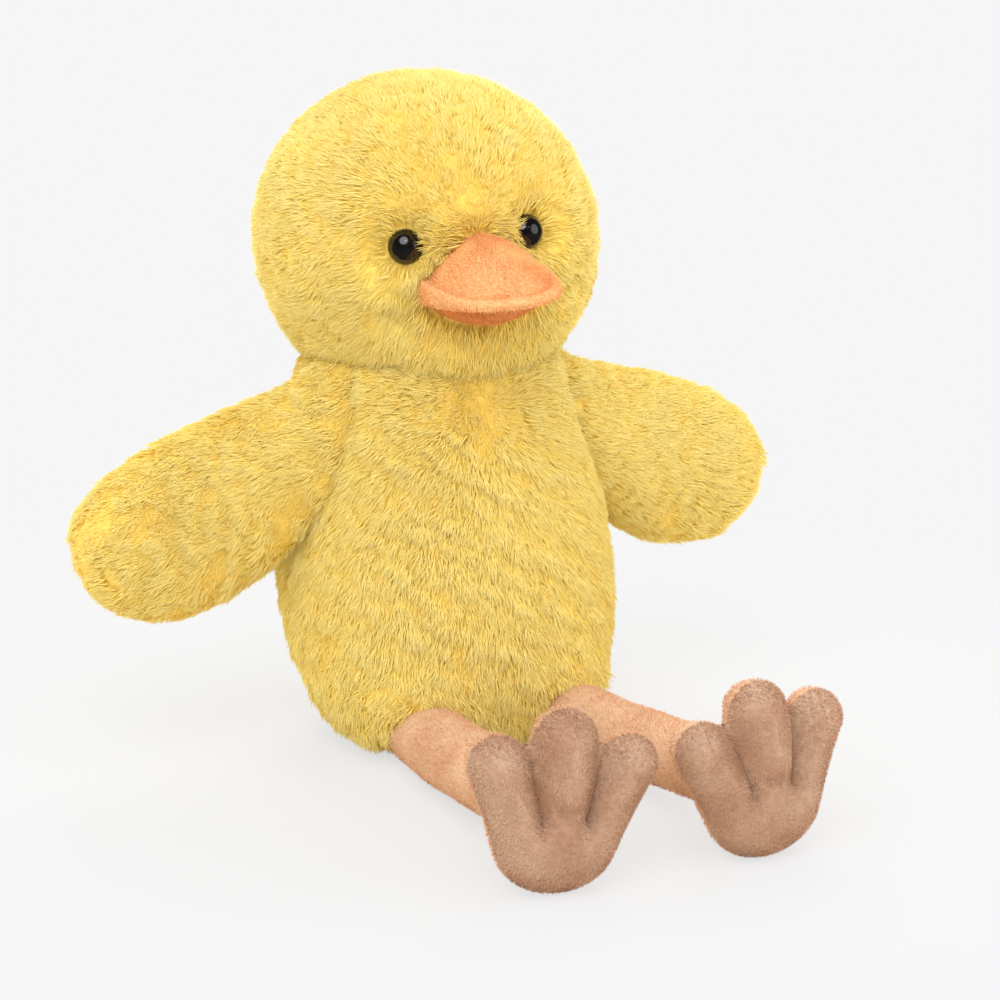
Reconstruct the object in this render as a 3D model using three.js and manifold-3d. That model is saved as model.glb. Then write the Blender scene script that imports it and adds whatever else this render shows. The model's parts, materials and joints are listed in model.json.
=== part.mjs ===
// Seated plush chick, in millimetres. +Z is up, the chick faces -Y and its own left is +X.
// The origin is the middle of the flat patch that it sits on.
// The size of a fur piece is taken at the tips of its pile.
import * as THREE from 'three';
import { mergeVertices } from 'three/addons/utils/BufferGeometryUtils.js';
import Module from 'manifold-3d';

const wasm = await Module();
wasm.setup();

// Cloth, and the room between pieces that are sewn together.
const FUR_THICKNESS = 11;
const BACKING_THICKNESS = 1.5;
const VELBOA_THICKNESS = 1.6;
const SEAM_GAP = 0.3;
const MOVING_GAP = 0.6;
const NECK_GAP = 1.1;
const THREAD_RADIUS = 0.8;

// How far a cut runs past the face that it opens.
const OVERCUT = 1;

// Body, from the seat up to the crease of the neck.
const SEAT_RADIUS = 24;
const BELLY_RADIUS = 58;
const BELLY_DEPTH = 101;
const BELLY_HEIGHT = 55;
const NECK_RADIUS = 45;
const NECK_HEIGHT = 133;
const SPINE_LEAN = 10;
const BODY_SQUARENESS = 2.6;

// Pellet bag in the seat.
const BAG_RADIUS = 30;
const BAG_HEIGHT = 26;
const BAG_THICKNESS = 1;

// Head, how far it looks to the chick's right, and how far its left side is raised.
const HEAD_RADIUS = 60;
const CROWN_HEIGHT = 57.5;
const HEAD_TURN = 7;
const HEAD_TILT = 5;

// Eyes, the pile that parts round them and their lock washers.
const EYE_RADIUS = 6;
const EYE_DOME = 5.5;
const EYE_ANGLE = 24;
const EYE_RISE = 4;
const EYE_PARTING = 4;
const SHANK_RADIUS = 2;
const SHANK_LENGTH = 9;
const WASHER_RADIUS = 8;
const WASHER_THICKNESS = 1.4;

// Beak: the mouth is the flat between its two panels, set a little to the chick's left.
const BEAK_WIDTH = 42;
const BEAK_LENGTH = 28;
const BEAK_RISE = 18;
const BEAK_DROP = 12;
const BEAK_SQUARENESS = 1.5;
const BEAK_SHIFT = 3;
const MOUTH_LEVEL = -12.5;
const WELT_RADIUS = 2.4;

// Wings, from the sewn root to the tip.
const WING_ROOT_HEIGHT = 100;
const WING_ROOT_CHORD = 58;
const WING_CHORD = 68;
const WING_THICKNESS = 42;
const WING_SPAN = 75;
const WING_TAPER = 29;
const RIGHT_WING_DROOP = 34;
const LEFT_WING_DROOP = 25;
const WING_LIFT = 0.55;

// Legs, from the sewn root to the middle of the ankle.
const HIP_SPACING = 54;
const HIP_HEIGHT = 18;
const LEG_ROOT_WIDTH = 24;
const LEG_RADIUS = 11.5;
const LEG_LENGTH = 92;
const LEG_TAPER = 29;
const LEG_SPLAY = 4;
const ANKLE_RADIUS = 11;
const ANKLE_BEND = 22;

// Feet: a heel and three toes that fan out from it.
const FOOT_THICKNESS = 23;
const OUTER_TOE_THICKNESS = 21;
const ANKLE_HEIGHT = 20;
const HEEL_RADIUS = 15.5;
const OUTER_HEEL_RADIUS = 13.5;
const TOE_RADIUS = 10;
const MIDDLE_TOE_RADIUS = 11;
const MIDDLE_TOE_LENGTH = 41;
const OUTER_TOE_LENGTH = 37.5;
const TOE_FAN = 33;
const TOE_ROOT_SPACING = 12;
const FOOT_ROLL = 6;

const FUR = { color: 0xf3d373, roughness: 0.95, metalness: 0 };
const TAN = { color: 0xe2b18b, roughness: 0.92, metalness: 0 };
const ROSE = { color: 0xb98d74, roughness: 0.92, metalness: 0 };
const ORANGE = { color: 0xf2a56c, roughness: 0.92, metalness: 0 };
const BLACK = { color: 0x0a0a09, roughness: 0.08, metalness: 0 };
const WASHER = { color: 0xd8d8d2, roughness: 0.5, metalness: 0 };
const FIBRE = { color: 0xf4f2ec, roughness: 1, metalness: 0 };
const BAG_CLOTH = { color: 0xe8e4d8, roughness: 0.95, metalness: 0 };
const PELLET = { color: 0xd9d6cc, roughness: 0.6, metalness: 0 };
const YELLOW_THREAD = { color: 0xe6b84e, roughness: 0.8, metalness: 0 };
const BROWN_THREAD = { color: 0x9c7560, roughness: 0.8, metalness: 0 };

const REACH = 600;
const SIDES = { right: -1, left: 1 };
const radians = THREE.MathUtils.degToRad;

// A closed geometry as a solid that can be cut and joined.
function solid(geometry) {
  const bare = geometry.clone();
  bare.deleteAttribute('normal');
  bare.deleteAttribute('uv');
  const merged = mergeVertices(bare, 1e-4);
  const mesh = new wasm.Mesh({
    numProp: 3,
    vertProperties: new Float32Array(merged.getAttribute('position').array),
    triVerts: new Uint32Array(merged.index.array),
  });
  mesh.merge();
  return new wasm.Manifold(mesh);
}

// Adds a solid to a group as a named piece.
function piece(group, name, body, finish) {
  const mesh = body.getMesh();
  const geometry = new THREE.BufferGeometry();
  geometry.setAttribute('position', new THREE.BufferAttribute(new Float32Array(mesh.vertProperties), 3));
  geometry.setIndex(new THREE.BufferAttribute(new Uint32Array(mesh.triVerts), 1));
  geometry.computeVertexNormals();
  const node = new THREE.Mesh(geometry, new THREE.MeshStandardMaterial(finish));
  node.name = name;
  group.add(node);
}

// A ring about a middle point, with half axes across, up and down; a squareness of 2 is an ellipse.
function ring(middle, across, up, count, squareness = 2, down = up) {
  const bend = (value) => Math.sign(value) * Math.abs(value) ** (2 / squareness);
  return Array.from({ length: count }, (_, index) => {
    const angle = (2 * Math.PI * index) / count;
    const height = bend(Math.sin(angle));
    return middle.clone()
      .addScaledVector(across, bend(Math.cos(angle)))
      .addScaledVector(height > 0 ? up : down, height);
  });
}

// A closed skin over a row of rings, brought to a point at either end.
function loft(rings, start, end) {
  const count = rings[0].length;
  const points = [...rings.flat(), start, end];
  const startAt = points.length - 2;
  const endAt = points.length - 1;
  const lastRing = (rings.length - 1) * count;
  const triangles = [];
  for (let index = 0; index < count; index += 1) {
    const next = (index + 1) % count;
    triangles.push(startAt, next, index);
    triangles.push(endAt, lastRing + index, lastRing + next);
    for (let row = 0; row < lastRing; row += count) {
      triangles.push(row + index, row + next, row + count + index);
      triangles.push(row + next, row + count + next, row + count + index);
    }
  }
  const geometry = new THREE.BufferGeometry().setFromPoints(points);
  geometry.setIndex(triangles);
  return solid(geometry);
}

// A solid turned about Z from a profile of [radius, height] pairs that starts and ends on the axis.
function turned(profile, count) {
  const outline = profile.map(([radius, height]) => new THREE.Vector2(Math.max(radius, 0), height));
  return solid(new THREE.LatheGeometry(outline, count).rotateX(Math.PI / 2));
}

// A rounded solid turned about Z, with its own height above and below its widest ring.
function ball(radius, above, below, count) {
  const steps = count / 2;
  const profile = Array.from({ length: steps + 1 }, (_, index) => {
    const angle = Math.PI * (index / steps - 0.5);
    const height = angle > 0 ? above : below;
    const edge = index === 0 || index === steps;
    return [edge ? 0 : radius * Math.cos(angle), height * Math.sin(angle)];
  });
  return turned(profile, count);
}

// A round bar along Z, between two heights.
function bar(lowRadius, highRadius, low, high, count) {
  return turned([[0, low], [lowRadius, low], [highRadius, high], [0, high]], count);
}

// The share of a solid on one side of a plane through the origin, short of it by half a seam.
function half(body, axis, side, lean = 0) {
  const box = new THREE.BoxGeometry(REACH, REACH, REACH);
  const shift = new THREE.Vector3();
  shift[axis] = (side * (REACH + SEAM_GAP)) / 2;
  box.translate(shift.x, shift.y, shift.z);
  box.applyMatrix4(new THREE.Matrix4().makeShear(0, 0, 0, 0, 0, lean));
  return body.intersect(solid(box));
}

// A tube of thread along a curve.
function thread(points, radius, sides, steps) {
  const shape = new THREE.Shape().absarc(0, 0, radius, 0, 2 * Math.PI);
  const extrudePath = new THREE.CatmullRomCurve3(points);
  return solid(new THREE.ExtrudeGeometry(shape, { steps, extrudePath, curveSegments: sides }));
}

function moved(body, position, rotation = new THREE.Euler()) {
  const matrix = new THREE.Matrix4().makeRotationFromEuler(rotation).setPosition(position);
  return body.transform(matrix.elements);
}

// Body shape: half width, half depth and the middle of the leaning spine at a height.
const leanSlope = Math.tan(radians(SPINE_LEAN));
const depthShare = BELLY_DEPTH / (2 * BELLY_RADIUS);
const spine = (height) => height * leanSlope;

function bodyHalfWidth(height) {
  if (height < BELLY_HEIGHT) {
    const rise = Math.max(height, 0) / BELLY_HEIGHT;
    return SEAT_RADIUS + (BELLY_RADIUS - SEAT_RADIUS) * (1 - (1 - rise) ** 2.2) ** (1 / 2.2);
  }
  const climb = Math.min((height - BELLY_HEIGHT) / (NECK_HEIGHT - BELLY_HEIGHT), 1);
  return NECK_RADIUS + (BELLY_RADIUS - NECK_RADIUS) * Math.cos((climb * Math.PI) / 2);
}

function bodyFront(x, height) {
  const share = Math.min(Math.abs(x) / bodyHalfWidth(height), 1) ** BODY_SQUARENESS;
  return spine(height) - depthShare * bodyHalfWidth(height) * (1 - share) ** (1 / BODY_SQUARENESS);
}

function bodyForm(inset, count, rows) {
  const top = NECK_HEIGHT - inset;
  const rings = Array.from({ length: rows }, (_, row) => {
    const height = inset + (top - inset) * (row / (rows - 1)) ** 1.6;
    const halfWidth = bodyHalfWidth(height);
    return ring(
      new THREE.Vector3(0, spine(height), height),
      new THREE.Vector3(halfWidth - inset, 0, 0),
      new THREE.Vector3(0, depthShare * halfWidth - inset, 0),
      count,
      BODY_SQUARENESS,
    );
  });
  return loft(rings, new THREE.Vector3(0, spine(inset), inset), new THREE.Vector3(0, spine(top), top));
}

// The head rests in a bowl in the top of the body and meets it along the crease of the neck.
const creaseDrop = Math.sqrt(HEAD_RADIUS ** 2 - NECK_RADIUS ** 2);
const headHeight = NECK_HEIGHT + creaseDrop;
const headMiddle = new THREE.Vector3(0, spine(NECK_HEIGHT), headHeight);
const bowlRadius = HEAD_RADIUS + NECK_GAP;

function bowl(extra, count) {
  return moved(ball(bowlRadius + extra, bowlRadius + extra, bowlRadius + extra, count), headMiddle);
}

const stitchReach = bowlRadius + THREAD_RADIUS;
const stitchMiddle = headMiddle.clone();
stitchMiddle.z -= (stitchReach * creaseDrop) / HEAD_RADIUS;
const stitchRing = (stitchReach * NECK_RADIUS) / HEAD_RADIUS;

function neckStitch(extra) {
  return moved(solid(new THREE.TorusGeometry(stitchRing, THREAD_RADIUS + extra, 6, 30)), stitchMiddle);
}

const chick = new THREE.Group();
chick.name = 'plush_chick';

function buildBody() {
  const group = new THREE.Group();
  const cavity = bodyForm(FUR_THICKNESS, 16, 7).subtract(bowl(FUR_THICKNESS, 16));
  const cover = bodyForm(0, 28, 10)
    .subtract(bowl(0, 28))
    .subtract(neckStitch(SEAM_GAP))
    .subtract(cavity);
  const seatDisc = (extra) =>
    bar(SEAT_RADIUS + extra, SEAT_RADIUS + extra, -OVERCUT, FUR_THICKNESS + OVERCUT, 28);
  const sides = cover.subtract(seatDisc(0));
  piece(group, 'body_front_panel', half(sides, 'y', -1, leanSlope), FUR);
  piece(group, 'body_back_panel', half(sides, 'y', 1, leanSlope), FUR);
  piece(group, 'body_seat_panel', cover.intersect(seatDisc(-SEAM_GAP)), FUR);

  const bagRise = BAG_HEIGHT / 2;
  const bagHeight = FUR_THICKNESS + 2 * SEAM_GAP + bagRise;
  const bagMiddle = new THREE.Vector3(0, spine(bagHeight), bagHeight);
  const bagForm = (inset) => ball(BAG_RADIUS - inset, bagRise - inset, bagRise - inset, 16);
  const bagCover = bagForm(0).subtract(bagForm(BAG_THICKNESS));
  piece(group, 'pellet_bag_top_panel', moved(half(bagCover, 'z', 1), bagMiddle), BAG_CLOTH);
  piece(group, 'pellet_bag_bottom_panel', moved(half(bagCover, 'z', -1), bagMiddle), BAG_CLOTH);
  piece(group, 'pellets', moved(bagForm(BAG_THICKNESS + SEAM_GAP), bagMiddle), PELLET);

  const filling = bodyForm(FUR_THICKNESS + SEAM_GAP, 16, 7)
    .subtract(bowl(FUR_THICKNESS + SEAM_GAP, 16))
    .subtract(moved(bagForm(-SEAM_GAP), bagMiddle))
    .subtract(moved(bar(BAG_RADIUS / 2, BAG_RADIUS / 2, -bagHeight, 0, 16), bagMiddle));
  piece(group, 'body_filling', filling, FIBRE);
  return group;
}

function buildNeck() {
  const group = new THREE.Group();
  piece(group, 'neck_stitching', neckStitch(0), YELLOW_THREAD);
  return group;
}

// Beak shape about the middle of the head: a rounded tongue that points to -Y, parted at the mouth.
const beakSeat = HEAD_RADIUS - FUR_THICKNESS + BACKING_THICKNESS;
const beakTip = HEAD_RADIUS + BEAK_LENGTH;
const mouth = new THREE.Vector3(BEAK_SHIFT, 0, MOUTH_LEVEL);

function beakForm(inset, rows = 6, count = 14) {
  const from = beakSeat + Math.max(inset, 0);
  const to = beakTip - inset;
  const middle = (along) => new THREE.Vector3(0, -(from + (to - from) * along), 0);
  const rings = Array.from({ length: rows }, (_, row) => {
    const along = Math.sin((row / rows) * (Math.PI / 2));
    const spread = Math.sqrt(1 - along ** 2.6);
    const swell = Math.sqrt(1 - along ** 1.7);
    return ring(
      middle(along),
      new THREE.Vector3(Math.max((BEAK_WIDTH / 2) * spread - inset, 0.4), 0, 0),
      new THREE.Vector3(0, 0, Math.max(BEAK_RISE * swell - inset, 0.4)),
      count,
      BEAK_SQUARENESS,
      new THREE.Vector3(0, 0, Math.max(BEAK_DROP * swell - inset, 0.4)),
    );
  });
  return loft(rings, middle(0), middle(1));
}

function beakWelt(extra) {
  const start = beakSeat + 3 * WELT_RADIUS;
  const points = [];
  for (let step = -4; step <= 4; step += 1) {
    const angle = (step / 4) * (Math.PI / 2);
    const spread = (BEAK_WIDTH / 2) * Math.sin(angle);
    points.push(new THREE.Vector3(spread, -(start + (beakTip - start) * Math.cos(angle)), 0));
  }
  return thread(points, WELT_RADIUS + extra, 6, 14);
}

function buildHead() {
  const group = new THREE.Group();
  group.position.copy(headMiddle);
  group.rotation.set(0, -radians(HEAD_TILT), -radians(HEAD_TURN), 'ZYX');

  const headForm = (inset, count) =>
    ball(HEAD_RADIUS - inset, CROWN_HEIGHT - inset, HEAD_RADIUS - inset, count);
  const cavity = headForm(FUR_THICKNESS, 16);
  let face = half(headForm(0, 28).subtract(cavity), 'y', -1);
  let filling = headForm(FUR_THICKNESS + SEAM_GAP, 16);

  // An eye sits on the cloth under the pile; its shank runs in to the washer.
  const skin = HEAD_RADIUS - FUR_THICKNESS;
  const seat = skin + BACKING_THICKNESS;
  const washerTop = skin - WASHER_RADIUS ** 2 / (2 * skin) - 4 * SEAM_GAP;
  const shankEnd = seat - SHANK_LENGTH;
  const dome = [];
  for (let step = 0; step <= 5; step += 1) {
    const angle = (step / 5) * (Math.PI / 2);
    const radius = step === 5 ? 0 : EYE_RADIUS * Math.cos(angle);
    dome.push([radius, seat + SEAM_GAP + EYE_DOME * Math.sin(angle)]);
  }
  const eye = turned(
    [[0, shankEnd], [SHANK_RADIUS, shankEnd], [SHANK_RADIUS, seat + SEAM_GAP], ...dome],
    20,
  );
  const bore = SHANK_RADIUS + SEAM_GAP;
  const washer = turned(
    [
      [bore, washerTop - WASHER_THICKNESS],
      [WASHER_RADIUS, washerTop - WASHER_THICKNESS],
      [WASHER_RADIUS, washerTop],
      [bore, washerTop],
      [bore, washerTop - WASHER_THICKNESS],
    ],
    20,
  );
  const parting = bar(EYE_RADIUS + SEAM_GAP, EYE_RADIUS + EYE_PARTING, seat, HEAD_RADIUS + OVERCUT, 20);
  const shankHole = bar(bore, bore, skin - FUR_THICKNESS, seat + OVERCUT, 12);
  const washerRoom = bar(
    WASHER_RADIUS + SEAM_GAP,
    WASHER_RADIUS + SEAM_GAP,
    shankEnd,
    washerTop + SEAM_GAP,
    20,
  );
  const pocketDepth = shankEnd - SEAM_GAP;
  const pocket = bar(WASHER_RADIUS + SEAM_GAP, WASHER_RADIUS + SEAM_GAP, pocketDepth, HEAD_RADIUS, 20);
  Object.entries(SIDES).forEach(([side, sign]) => {
    const aim = new THREE.Euler(radians(90 - EYE_RISE), 0, sign * radians(EYE_ANGLE), 'ZXY');
    const aimed = (body) => moved(body, new THREE.Vector3(), aim);
    face = face.subtract(aimed(parting)).subtract(aimed(shankHole)).subtract(aimed(washerRoom));
    filling = filling.subtract(aimed(pocket));
    piece(group, `${side}_eye`, aimed(eye), BLACK);
    piece(group, `${side}_eye_washer`, aimed(washer), WASHER);
  });

  // The beak is let into the pile down to the cloth, with the turned seam along its mouth.
  const turnedEdge = WELT_RADIUS + 2 * SEAM_GAP;
  const beakCover = beakForm(0).subtract(beakForm(turnedEdge)).subtract(beakWelt(SEAM_GAP));
  const addToBeak = (name, body, finish) => piece(group, `beak_${name}`, moved(body, mouth), finish);
  addToBeak('upper_panel', half(beakCover, 'z', 1), ORANGE);
  addToBeak('lower_panel', half(beakCover, 'z', -1), ORANGE);
  addToBeak('seam_edge', beakWelt(0), ORANGE);
  addToBeak('filling', beakForm(turnedEdge + SEAM_GAP), FIBRE);
  face = face.subtract(moved(beakForm(-2 * SEAM_GAP).add(beakWelt(SEAM_GAP)), mouth));

  piece(group, 'head_face_panel', face, FUR);
  piece(group, 'head_back_panel', half(headForm(0, 28).subtract(cavity), 'y', 1), FUR);
  piece(group, 'head_filling', filling, FIBRE);
  return group;
}

// A wing hangs from a straight sewn edge that just clears the side seam of the body.
function buildWing(side, sign, droopAngle) {
  const group = new THREE.Group();
  const reach = WING_ROOT_CHORD / 2;
  const low = WING_ROOT_HEIGHT - reach;
  const high = WING_ROOT_HEIGHT + reach;
  const slope = (bodyHalfWidth(high) - bodyHalfWidth(low)) / WING_ROOT_CHORD;
  const line = (height) => bodyHalfWidth(WING_ROOT_HEIGHT) + slope * (height - WING_ROOT_HEIGHT);
  let bulge = 0;
  for (let height = low; height <= high; height += 2) {
    bulge = Math.max(bulge, bodyHalfWidth(height) - line(height));
  }
  group.position.set(
    sign * (line(WING_ROOT_HEIGHT) + bulge + MOVING_GAP),
    spine(WING_ROOT_HEIGHT),
    WING_ROOT_HEIGHT,
  );
  group.rotation.set(-Math.atan(leanSlope), sign * Math.atan(slope), 0, 'XYZ');

  const droop = Math.tan(radians(droopAngle) - Math.atan(slope));
  const taperedHalf = (distance) =>
    (WING_THICKNESS / 2) * Math.sin((Math.PI / 2) * Math.min(distance / WING_TAPER, 1));
  const wingForm = (inset, count, rows) => {
    const thin = (inset + 1) / (WING_THICKNESS / 2);
    const from = inset > 0 ? (WING_TAPER * 2 * Math.asin(thin)) / Math.PI : 0;
    const to = WING_SPAN - inset;
    const middle = (distance) =>
      -droop * distance * (1 - WING_LIFT * (distance / WING_SPAN));
    const rings = Array.from({ length: rows }, (_, row) => {
      const distance = from + (to - from) * Math.sin((row / rows) * (Math.PI / 2));
      const outer = Math.max((distance + inset - WING_SPAN / 3) / (WING_SPAN - WING_SPAN / 3), 0);
      const round = Math.sqrt(Math.max(1 - outer ** 2, 0));
      const chord = THREE.MathUtils.lerp(
        WING_ROOT_CHORD,
        WING_CHORD,
        Math.min(distance / WING_TAPER, 1),
      );
      const halfChord = (chord / 2) * round - inset;
      const halfThickness = taperedHalf(distance) * Math.sqrt(round) - inset;
      return ring(
        new THREE.Vector3(sign * distance, 0, middle(distance)),
        new THREE.Vector3(0, sign * Math.max(halfThickness, 0.7), 0),
        new THREE.Vector3(0, 0, Math.max(halfChord, 0.7)),
        count,
      );
    });
    return loft(
      rings,
      new THREE.Vector3(sign * from, 0, middle(from)),
      new THREE.Vector3(sign * to, 0, middle(to)),
    );
  };
  const cover = wingForm(0, 18, 9).subtract(wingForm(FUR_THICKNESS, 12, 5));
  piece(group, `${side}_wing_front_panel`, half(cover, 'y', -1), FUR);
  piece(group, `${side}_wing_back_panel`, half(cover, 'y', 1), FUR);
  piece(group, `${side}_wing_filling`, wingForm(FUR_THICKNESS + SEAM_GAP, 12, 5), FIBRE);
  return group;
}

// A foot about the middle of its ankle: the sole faces -Y and the toes point up.
function footForm(inset, count, rows) {
  const heel = ANKLE_HEIGHT - HEEL_RADIUS;
  const toe = (length, rootRadius, tipRadius, thickness, root, lean) => {
    const from = -(rootRadius - inset);
    const to = length - inset;
    const rings = Array.from({ length: rows }, (_, row) => {
      const share = (1 - Math.cos((Math.PI * (row + 0.6)) / (rows + 0.2))) / 2;
      const along = from + (to - from) * share;
      const full = THREE.MathUtils.lerp(rootRadius, tipRadius, THREE.MathUtils.clamp(along / length, 0, 1));
      const before = Math.max(-along / (rootRadius - inset), 0);
      const beyond = Math.max((along - (length - tipRadius)) / (tipRadius - inset), 0);
      const round = Math.sqrt(Math.max(1 - Math.max(before, beyond) ** 2, 0));
      const halfThickness = ((thickness / 2) * full) / rootRadius;
      return ring(
        new THREE.Vector3(0, 0, along),
        new THREE.Vector3((full - inset) * round, 0, 0),
        new THREE.Vector3(0, (halfThickness - inset) * round, 0),
        count,
      );
    });
    const form = loft(rings, new THREE.Vector3(0, 0, from), new THREE.Vector3(0, 0, to));
    return moved(form, new THREE.Vector3(root, 0, -heel), new THREE.Euler(0, radians(lean), 0));
  };
  const outer = (sign) =>
    toe(
      OUTER_TOE_LENGTH,
      OUTER_HEEL_RADIUS,
      TOE_RADIUS,
      OUTER_TOE_THICKNESS,
      (sign * TOE_ROOT_SPACING) / 2,
      sign * TOE_FAN,
    );
  return toe(MIDDLE_TOE_LENGTH, HEEL_RADIUS, MIDDLE_TOE_RADIUS, FOOT_THICKNESS, 0, 0)
    .add(outer(-1))
    .add(outer(1));
}

function buildFoot(side) {
  const group = new THREE.Group();
  const setOff = FOOT_THICKNESS / 2 + ANKLE_RADIUS * Math.sin(radians(ANKLE_BEND));
  const forward = new THREE.Vector3(0, -setOff, 0);
  const socket = (extra) => {
    const radius = ANKLE_RADIUS + MOVING_GAP + extra;
    return moved(ball(radius, radius, radius, 20), new THREE.Vector3(0, setOff, 0));
  };

  // Two rows of stitching draw the sole in between the toes.
  const heel = ANKLE_HEIGHT - HEEL_RADIUS;
  const row = (sign, extra) => {
    const lean = radians((sign * TOE_FAN) / 2);
    const points = [0.34, 0.56, 0.78].map((share, index) => {
      const reach = share * MIDDLE_TOE_LENGTH;
      const root = (sign * TOE_ROOT_SPACING) / 4;
      const depth = (FOOT_THICKNESS / 2) * (0.94 - 0.2 * index);
      return new THREE.Vector3(root + reach * Math.sin(lean), -depth, reach * Math.cos(lean) - heel);
    });
    return thread(points, THREAD_RADIUS + extra, 5, 4);
  };
  const rowNames = side === 'right' ? { outer: -1, inner: 1 } : { inner: -1, outer: 1 };
  const channels = row(-1, SEAM_GAP).add(row(1, SEAM_GAP));

  const cover = footForm(0, 12, 7).subtract(footForm(VELBOA_THICKNESS, 8, 5)).subtract(channels);
  const filling = footForm(VELBOA_THICKNESS + SEAM_GAP, 8, 5).subtract(channels).subtract(socket(0));
  const add = (name, body, finish) => piece(group, `${side}_foot_${name}`, moved(body, forward), finish);
  add('sole_panel', half(cover, 'y', -1), ROSE);
  add('upper_panel', half(cover, 'y', 1).subtract(socket(0)), TAN);
  add('filling', filling, FIBRE);
  Object.entries(rowNames).forEach(([name, sign]) => {
    add(`${name}_toe_stitching`, row(sign, 0), BROWN_THREAD);
  });
  return group;
}

// A leg is a sleeve that is sewn flat at the hip and open at the ankle; its filling ends in a ball.
function buildLeg(side, sign) {
  const group = new THREE.Group();
  const splay = radians(LEG_SPLAY);
  const hipX = HIP_SPACING / 2;
  const halfRoot = LEG_ROOT_WIDTH / 2;
  let hipY = 0;
  for (let share = -1; share <= 1; share += 0.25) {
    const offset = share * halfRoot;
    const front = bodyFront(hipX + offset * Math.cos(splay), HIP_HEIGHT) - offset * Math.sin(splay);
    hipY = Math.min(hipY, front);
  }
  const drop = HIP_HEIGHT - ANKLE_HEIGHT - SEAM_GAP;
  const pitch = Math.asin(drop / LEG_LENGTH);
  group.position.set(sign * hipX, hipY - MOVING_GAP, HIP_HEIGHT);
  group.rotation.set(pitch, 0, sign * splay, 'ZXY');

  const legForm = (inset, from, to, count, rows) => {
    const rings = Array.from({ length: rows }, (_, row) => {
      const distance = from + (to - from) * (row / (rows - 1)) ** 1.5;
      const swell = Math.sin((Math.PI / 2) * Math.min(distance / LEG_TAPER, 1));
      const radius = THREE.MathUtils.lerp(LEG_RADIUS, ANKLE_RADIUS, Math.min(distance / LEG_LENGTH, 1));
      const halfWidth = THREE.MathUtils.lerp(halfRoot, radius, swell) - inset;
      const halfHeight = Math.max(radius * swell - inset, 0.8);
      return ring(
        new THREE.Vector3(0, -distance, 0),
        new THREE.Vector3(halfWidth, 0, 0),
        new THREE.Vector3(0, 0, halfHeight),
        count,
      );
    });
    return loft(rings, new THREE.Vector3(0, -from, 0), new THREE.Vector3(0, -to, 0));
  };
  const ankle = new THREE.Vector3(0, -LEG_LENGTH, 0);
  const cavityStart = (inset) => (LEG_TAPER * 2 * Math.asin((inset + 1) / LEG_RADIUS)) / Math.PI;
  const hollow = legForm(VELBOA_THICKNESS, cavityStart(VELBOA_THICKNESS), LEG_LENGTH + OVERCUT, 12, 7);
  piece(group, `${side}_leg_sleeve`, legForm(0, 0, LEG_LENGTH, 16, 9).subtract(hollow), TAN);
  const inset = VELBOA_THICKNESS + SEAM_GAP;
  const plug = moved(half(ball(ANKLE_RADIUS, ANKLE_RADIUS, ANKLE_RADIUS, 16), 'y', -1), ankle);
  const filling = legForm(inset, cavityStart(inset), LEG_LENGTH + OVERCUT, 12, 7).add(plug);
  piece(group, `${side}_leg_filling`, filling, FIBRE);

  const foot = buildFoot(side);
  foot.position.copy(ankle);
  foot.rotation.set(-pitch, -sign * radians(FOOT_ROLL), 0, 'XYZ');
  group.add(foot);
  return group;
}

chick.add(buildBody(), buildNeck(), buildHead());
chick.add(buildWing('right', SIDES.right, RIGHT_WING_DROOP), buildWing('left', SIDES.left, LEFT_WING_DROOP));
Object.entries(SIDES).forEach(([side, sign]) => chick.add(buildLeg(side, sign)));

export default chick;
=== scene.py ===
"""Looks of a seated plush chick: long fur, short velboa, glossy eyes and what is sewn inside.

Lengths are in metres, in the frame of the packed part: +Z is up, the chick faces -Y and its own left is +X.
Every surface is worked out as a function of two parameters on a grid. Long fur is a dense under-fur on the
cloth with closed strands lying over it, and short pile is closed fibres that stand on the cloth.
"""
import json
import math

import bpy
import numpy as np
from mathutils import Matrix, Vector


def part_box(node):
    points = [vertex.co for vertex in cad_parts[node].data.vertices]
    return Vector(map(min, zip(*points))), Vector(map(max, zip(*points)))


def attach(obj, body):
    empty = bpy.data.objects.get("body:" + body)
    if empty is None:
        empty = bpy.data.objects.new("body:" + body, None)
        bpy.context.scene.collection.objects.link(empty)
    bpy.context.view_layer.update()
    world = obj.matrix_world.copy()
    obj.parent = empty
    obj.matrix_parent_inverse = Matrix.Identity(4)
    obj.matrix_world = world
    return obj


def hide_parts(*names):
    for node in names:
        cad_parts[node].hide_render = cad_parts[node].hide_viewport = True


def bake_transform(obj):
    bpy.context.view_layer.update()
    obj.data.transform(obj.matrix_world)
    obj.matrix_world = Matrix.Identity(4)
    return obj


bl_info = {
    "name": "Plush Chick",
    "version": (1, 0, 0),
    "blender": (4, 5, 0),
    "location": "3D View > Sidebar > Chick",
    "description": "Builds the fur, velboa, eyes, filling and stage of a seated plush chick",
    "category": "Object",
}

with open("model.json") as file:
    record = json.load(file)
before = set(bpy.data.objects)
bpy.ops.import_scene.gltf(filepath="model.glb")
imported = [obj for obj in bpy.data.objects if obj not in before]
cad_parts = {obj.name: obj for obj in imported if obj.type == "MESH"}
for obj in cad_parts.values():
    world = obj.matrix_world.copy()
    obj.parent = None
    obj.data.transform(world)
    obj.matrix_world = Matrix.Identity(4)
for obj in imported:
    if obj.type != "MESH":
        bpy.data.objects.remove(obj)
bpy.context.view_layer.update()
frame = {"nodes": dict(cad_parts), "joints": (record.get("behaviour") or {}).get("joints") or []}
JOINTS = {joint["name"]: joint for joint in frame["joints"]}
SIDES = {"right": -1, "left": 1}
MM = 0.001
UP = np.array((0.0, 0.0, 1.0))

# Points along and across the cloth of a fur panel
PANEL_GRID = (56, 56)
# Shares and sizes of the swirls in the comb of the fur
SWIRLS = ((0.17, 26 * MM), (0.15, 7 * MM))
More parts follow.
